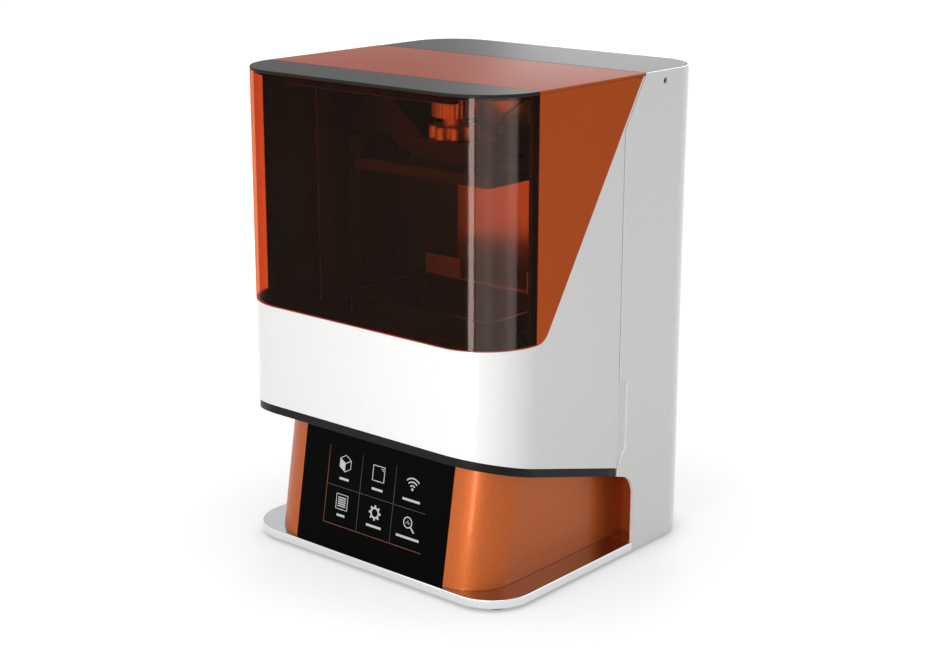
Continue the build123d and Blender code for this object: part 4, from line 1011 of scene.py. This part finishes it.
deck_top = box_mm("deck_plate")[1][2]
deck_half, deck_front = box_mm("deck_plate")[1][0], box_mm("deck_plate")[0][1]
tower_low, tower_high = box_mm("lift_tower_cover")
deck_margin, tower_margin = 14.0, 9.0
heads = [socket_screw((side * (deck_half - reach), y, deck_top), [0, 1, 2], 4.0, 2.4)
         for side in (-1, 1) for reach, y in ((34.0, deck_front + deck_margin), (deck_margin, -100.0))]
heads += [socket_screw((tower_high[0], y, z), [2, 0, 1], 3.0, 1.8)
          for y in (tower_low[1] + tower_margin, tower_high[1] - tower_margin)
          for z in (tower_low[2] + 20, tower_high[2] - tower_margin)]
put("deck_and_tower_screws", heads, [black_oxide], "frame")
ledge_x = panel_high[0] - panel_ledge / 2
screw_inset = 5.0
middle_screw_height = 280.0
fan_low, fan_high = box_mm("exhaust_fan_frame")
fan_inset = 4.25
plate_high_z = box_mm("socket_plate")[1][2]
rear_places = [(side * ledge_x, z) for side in (-1, 1)
               for z in (panel_low[2] + screw_inset, plate_high_z - screw_inset, plate_high_z + 6,
                         middle_screw_height, panel_high[2] - screw_inset)]
rear_places += [(x, z) for x in (fan_low[0] + fan_inset, fan_high[0] - fan_inset)
                for z in (fan_low[2] + fan_inset, fan_high[2] - fan_inset)]
put("rear_screws", [socket_screw((x, rear, z), [1, 2, 0], 3.2, 0.02) for x, z in rear_places],
    [black_oxide], "frame")

# Floor and room: a pale floor that keeps the object's shadow, and a white surround that the camera
# and the mirrors see. Broad soft lamps stand in front, above, at the right and behind on the left,
# and a narrow upright strip lights the near corner.


def seen_straight(material):
    """One for the camera's, the mirrors' and the clear pieces' rays, and zero for all others."""
    rays = add(material, "ShaderNodeLightPath").outputs
    sharp = add(material, "ShaderNodeMath", {"operation": "MAXIMUM"},
                {0: rays["Is Camera Ray"], 1: rays["Is Glossy Ray"]})
    return add(material, "ShaderNodeMath", {"operation": "MAXIMUM"},
               {0: sharp.outputs[0], 1: rays["Is Transmission Ray"]}).outputs[0]


floor_size = 30.0
floor_mesh = bpy.data.meshes.new("studio_floor")
floor_mesh.from_pydata([(-floor_size, -floor_size, 0), (floor_size, -floor_size, 0),
                        (floor_size, floor_size, 0), (-floor_size, floor_size, 0)], [], [(0, 1, 2, 3)])
floor = bpy.data.objects.new("studio_floor", floor_mesh)
bpy.context.scene.collection.objects.link(floor)
pale = bpy.data.materials.new("pale_floor")
pale.use_nodes = True
pale_shader = pale.node_tree.nodes["Principled BSDF"]
pale_shader.inputs["Roughness"].default_value = 0.9
pale_shader.inputs["Base Color"].default_value = (0.48, 0.48, 0.48, 1.0)
seen = seen_straight(pale)
floor_place = add(pale, "ShaderNodeTexCoord").outputs["Object"]
# The floor's glow rises from the middle outwards: painted shade, darker round the object.
far = add(pale, "ShaderNodeVectorMath", {"operation": "LENGTH"}, {0: floor_place})
painted_shade_fade = add(pale, "ShaderNodeMapRange", {"From Min": 0.25, "From Max": 0.9, "To Min": 0.56,
           "To Max": 0.84}, {"Value": far.outputs["Value"]})
# Close to the plate the object hides part of the white surround, so the floor is darker there.
hidden = add(pale, "ShaderNodeAmbientOcclusion", {"samples": 8, "Distance": 0.03})
open_sky = add(pale, "ShaderNodeMapRange", {"To Min": 0.5}, {"Value": hidden.outputs["AO"]})
lift = add(pale, "ShaderNodeMath", {"operation": "MULTIPLY"}, {0: seen, 1: painted_shade_fade.outputs[0]})
lift = add(pale, "ShaderNodeMath", {"operation": "MULTIPLY"},
           {0: lift.outputs[0], 1: open_sky.outputs[0]})
pale_shader.inputs["Emission Color"].default_value = (1, 1, 1, 1)
pale.node_tree.links.new(lift.outputs[0], pale_shader.inputs["Emission Strength"])
floor_mesh.materials.append(pale)

room = bpy.data.worlds.new("white_room")
room.use_nodes = True
bpy.context.scene.world = room
room_light = room.node_tree.nodes["Background"]
room_level = add(room, "ShaderNodeMapRange", {"To Min": 0.50, "To Max": 1.0},
                 {"Value": seen_straight(room)})
room_light.inputs["Color"].default_value = (1, 1, 1, 1)
room.node_tree.links.new(room_level.outputs[0], room_light.inputs["Strength"])


def lamp(name, place, target, width, height, watts):
    """A soft rectangular lamp at a place in metres, turned to its target."""
    light = bpy.data.lights.new(name, "AREA")
    light.shape, light.size, light.size_y, light.energy = "RECTANGLE", width, height, watts
    holder = bpy.data.objects.new(name, light)
    holder.location = place
    holder.visible_camera = False
    holder.rotation_euler = (Vector(target) - Vector(place)).to_track_quat("-Z", "Y").to_euler()
    bpy.context.scene.collection.objects.link(holder)


lamp("front_lamp", (-0.58, -2.53, 1.15), (0, 0, 0.25), 2.4, 2.1, 19.5)
lamp("top_lamp", (0.2, -0.2, 2.6), (0, 0, 0.3), 1.4, 1.4, 12.0)
lamp("corner_strip", (0.325, -0.743, 0.255), (0.165, -0.165, 0.255), 0.1, 0.49, 1.7)
lamp("side_lamp", (2.2, 1.6, 1.0), (0, 0, 0.3), 1.3, 1.3, 3.6)
lamp("rear_lamp", (-1.333, 2.405, 1.2), (0, 0, 0.54), 0.9, 1.0, 17.0)

# Camera: at the photograph's viewing angle, worked out from the object's edges in the picture.
# The small shift of the lens puts the object where the picture has it.

azimuth, elevation, roll = math.radians(40.774), math.radians(15.455), math.radians(0.04)
camera_data = bpy.data.cameras.new("photo_camera")
camera_data.sensor_width = 36.0
camera_data.lens = 68.85
camera_data.shift_x = 0.0138
camera_data.shift_y = -0.0104
camera_data.clip_end = 100.0
camera = bpy.data.objects.new("photo_camera", camera_data)
camera.location = (1.2662, -1.4873, 0.7881)
back = Vector((math.sin(azimuth) * math.cos(elevation), -math.cos(azimuth) * math.cos(elevation),
               math.sin(elevation)))
camera.rotation_euler = (back.to_track_quat("Z", "Y").to_matrix()
                         @ Matrix.Rotation(roll, 3, "Z")).to_euler()
bpy.context.scene.collection.objects.link(camera)
bpy.context.scene.camera = camera
bpy.context.scene.view_settings.view_transform = "Standard"
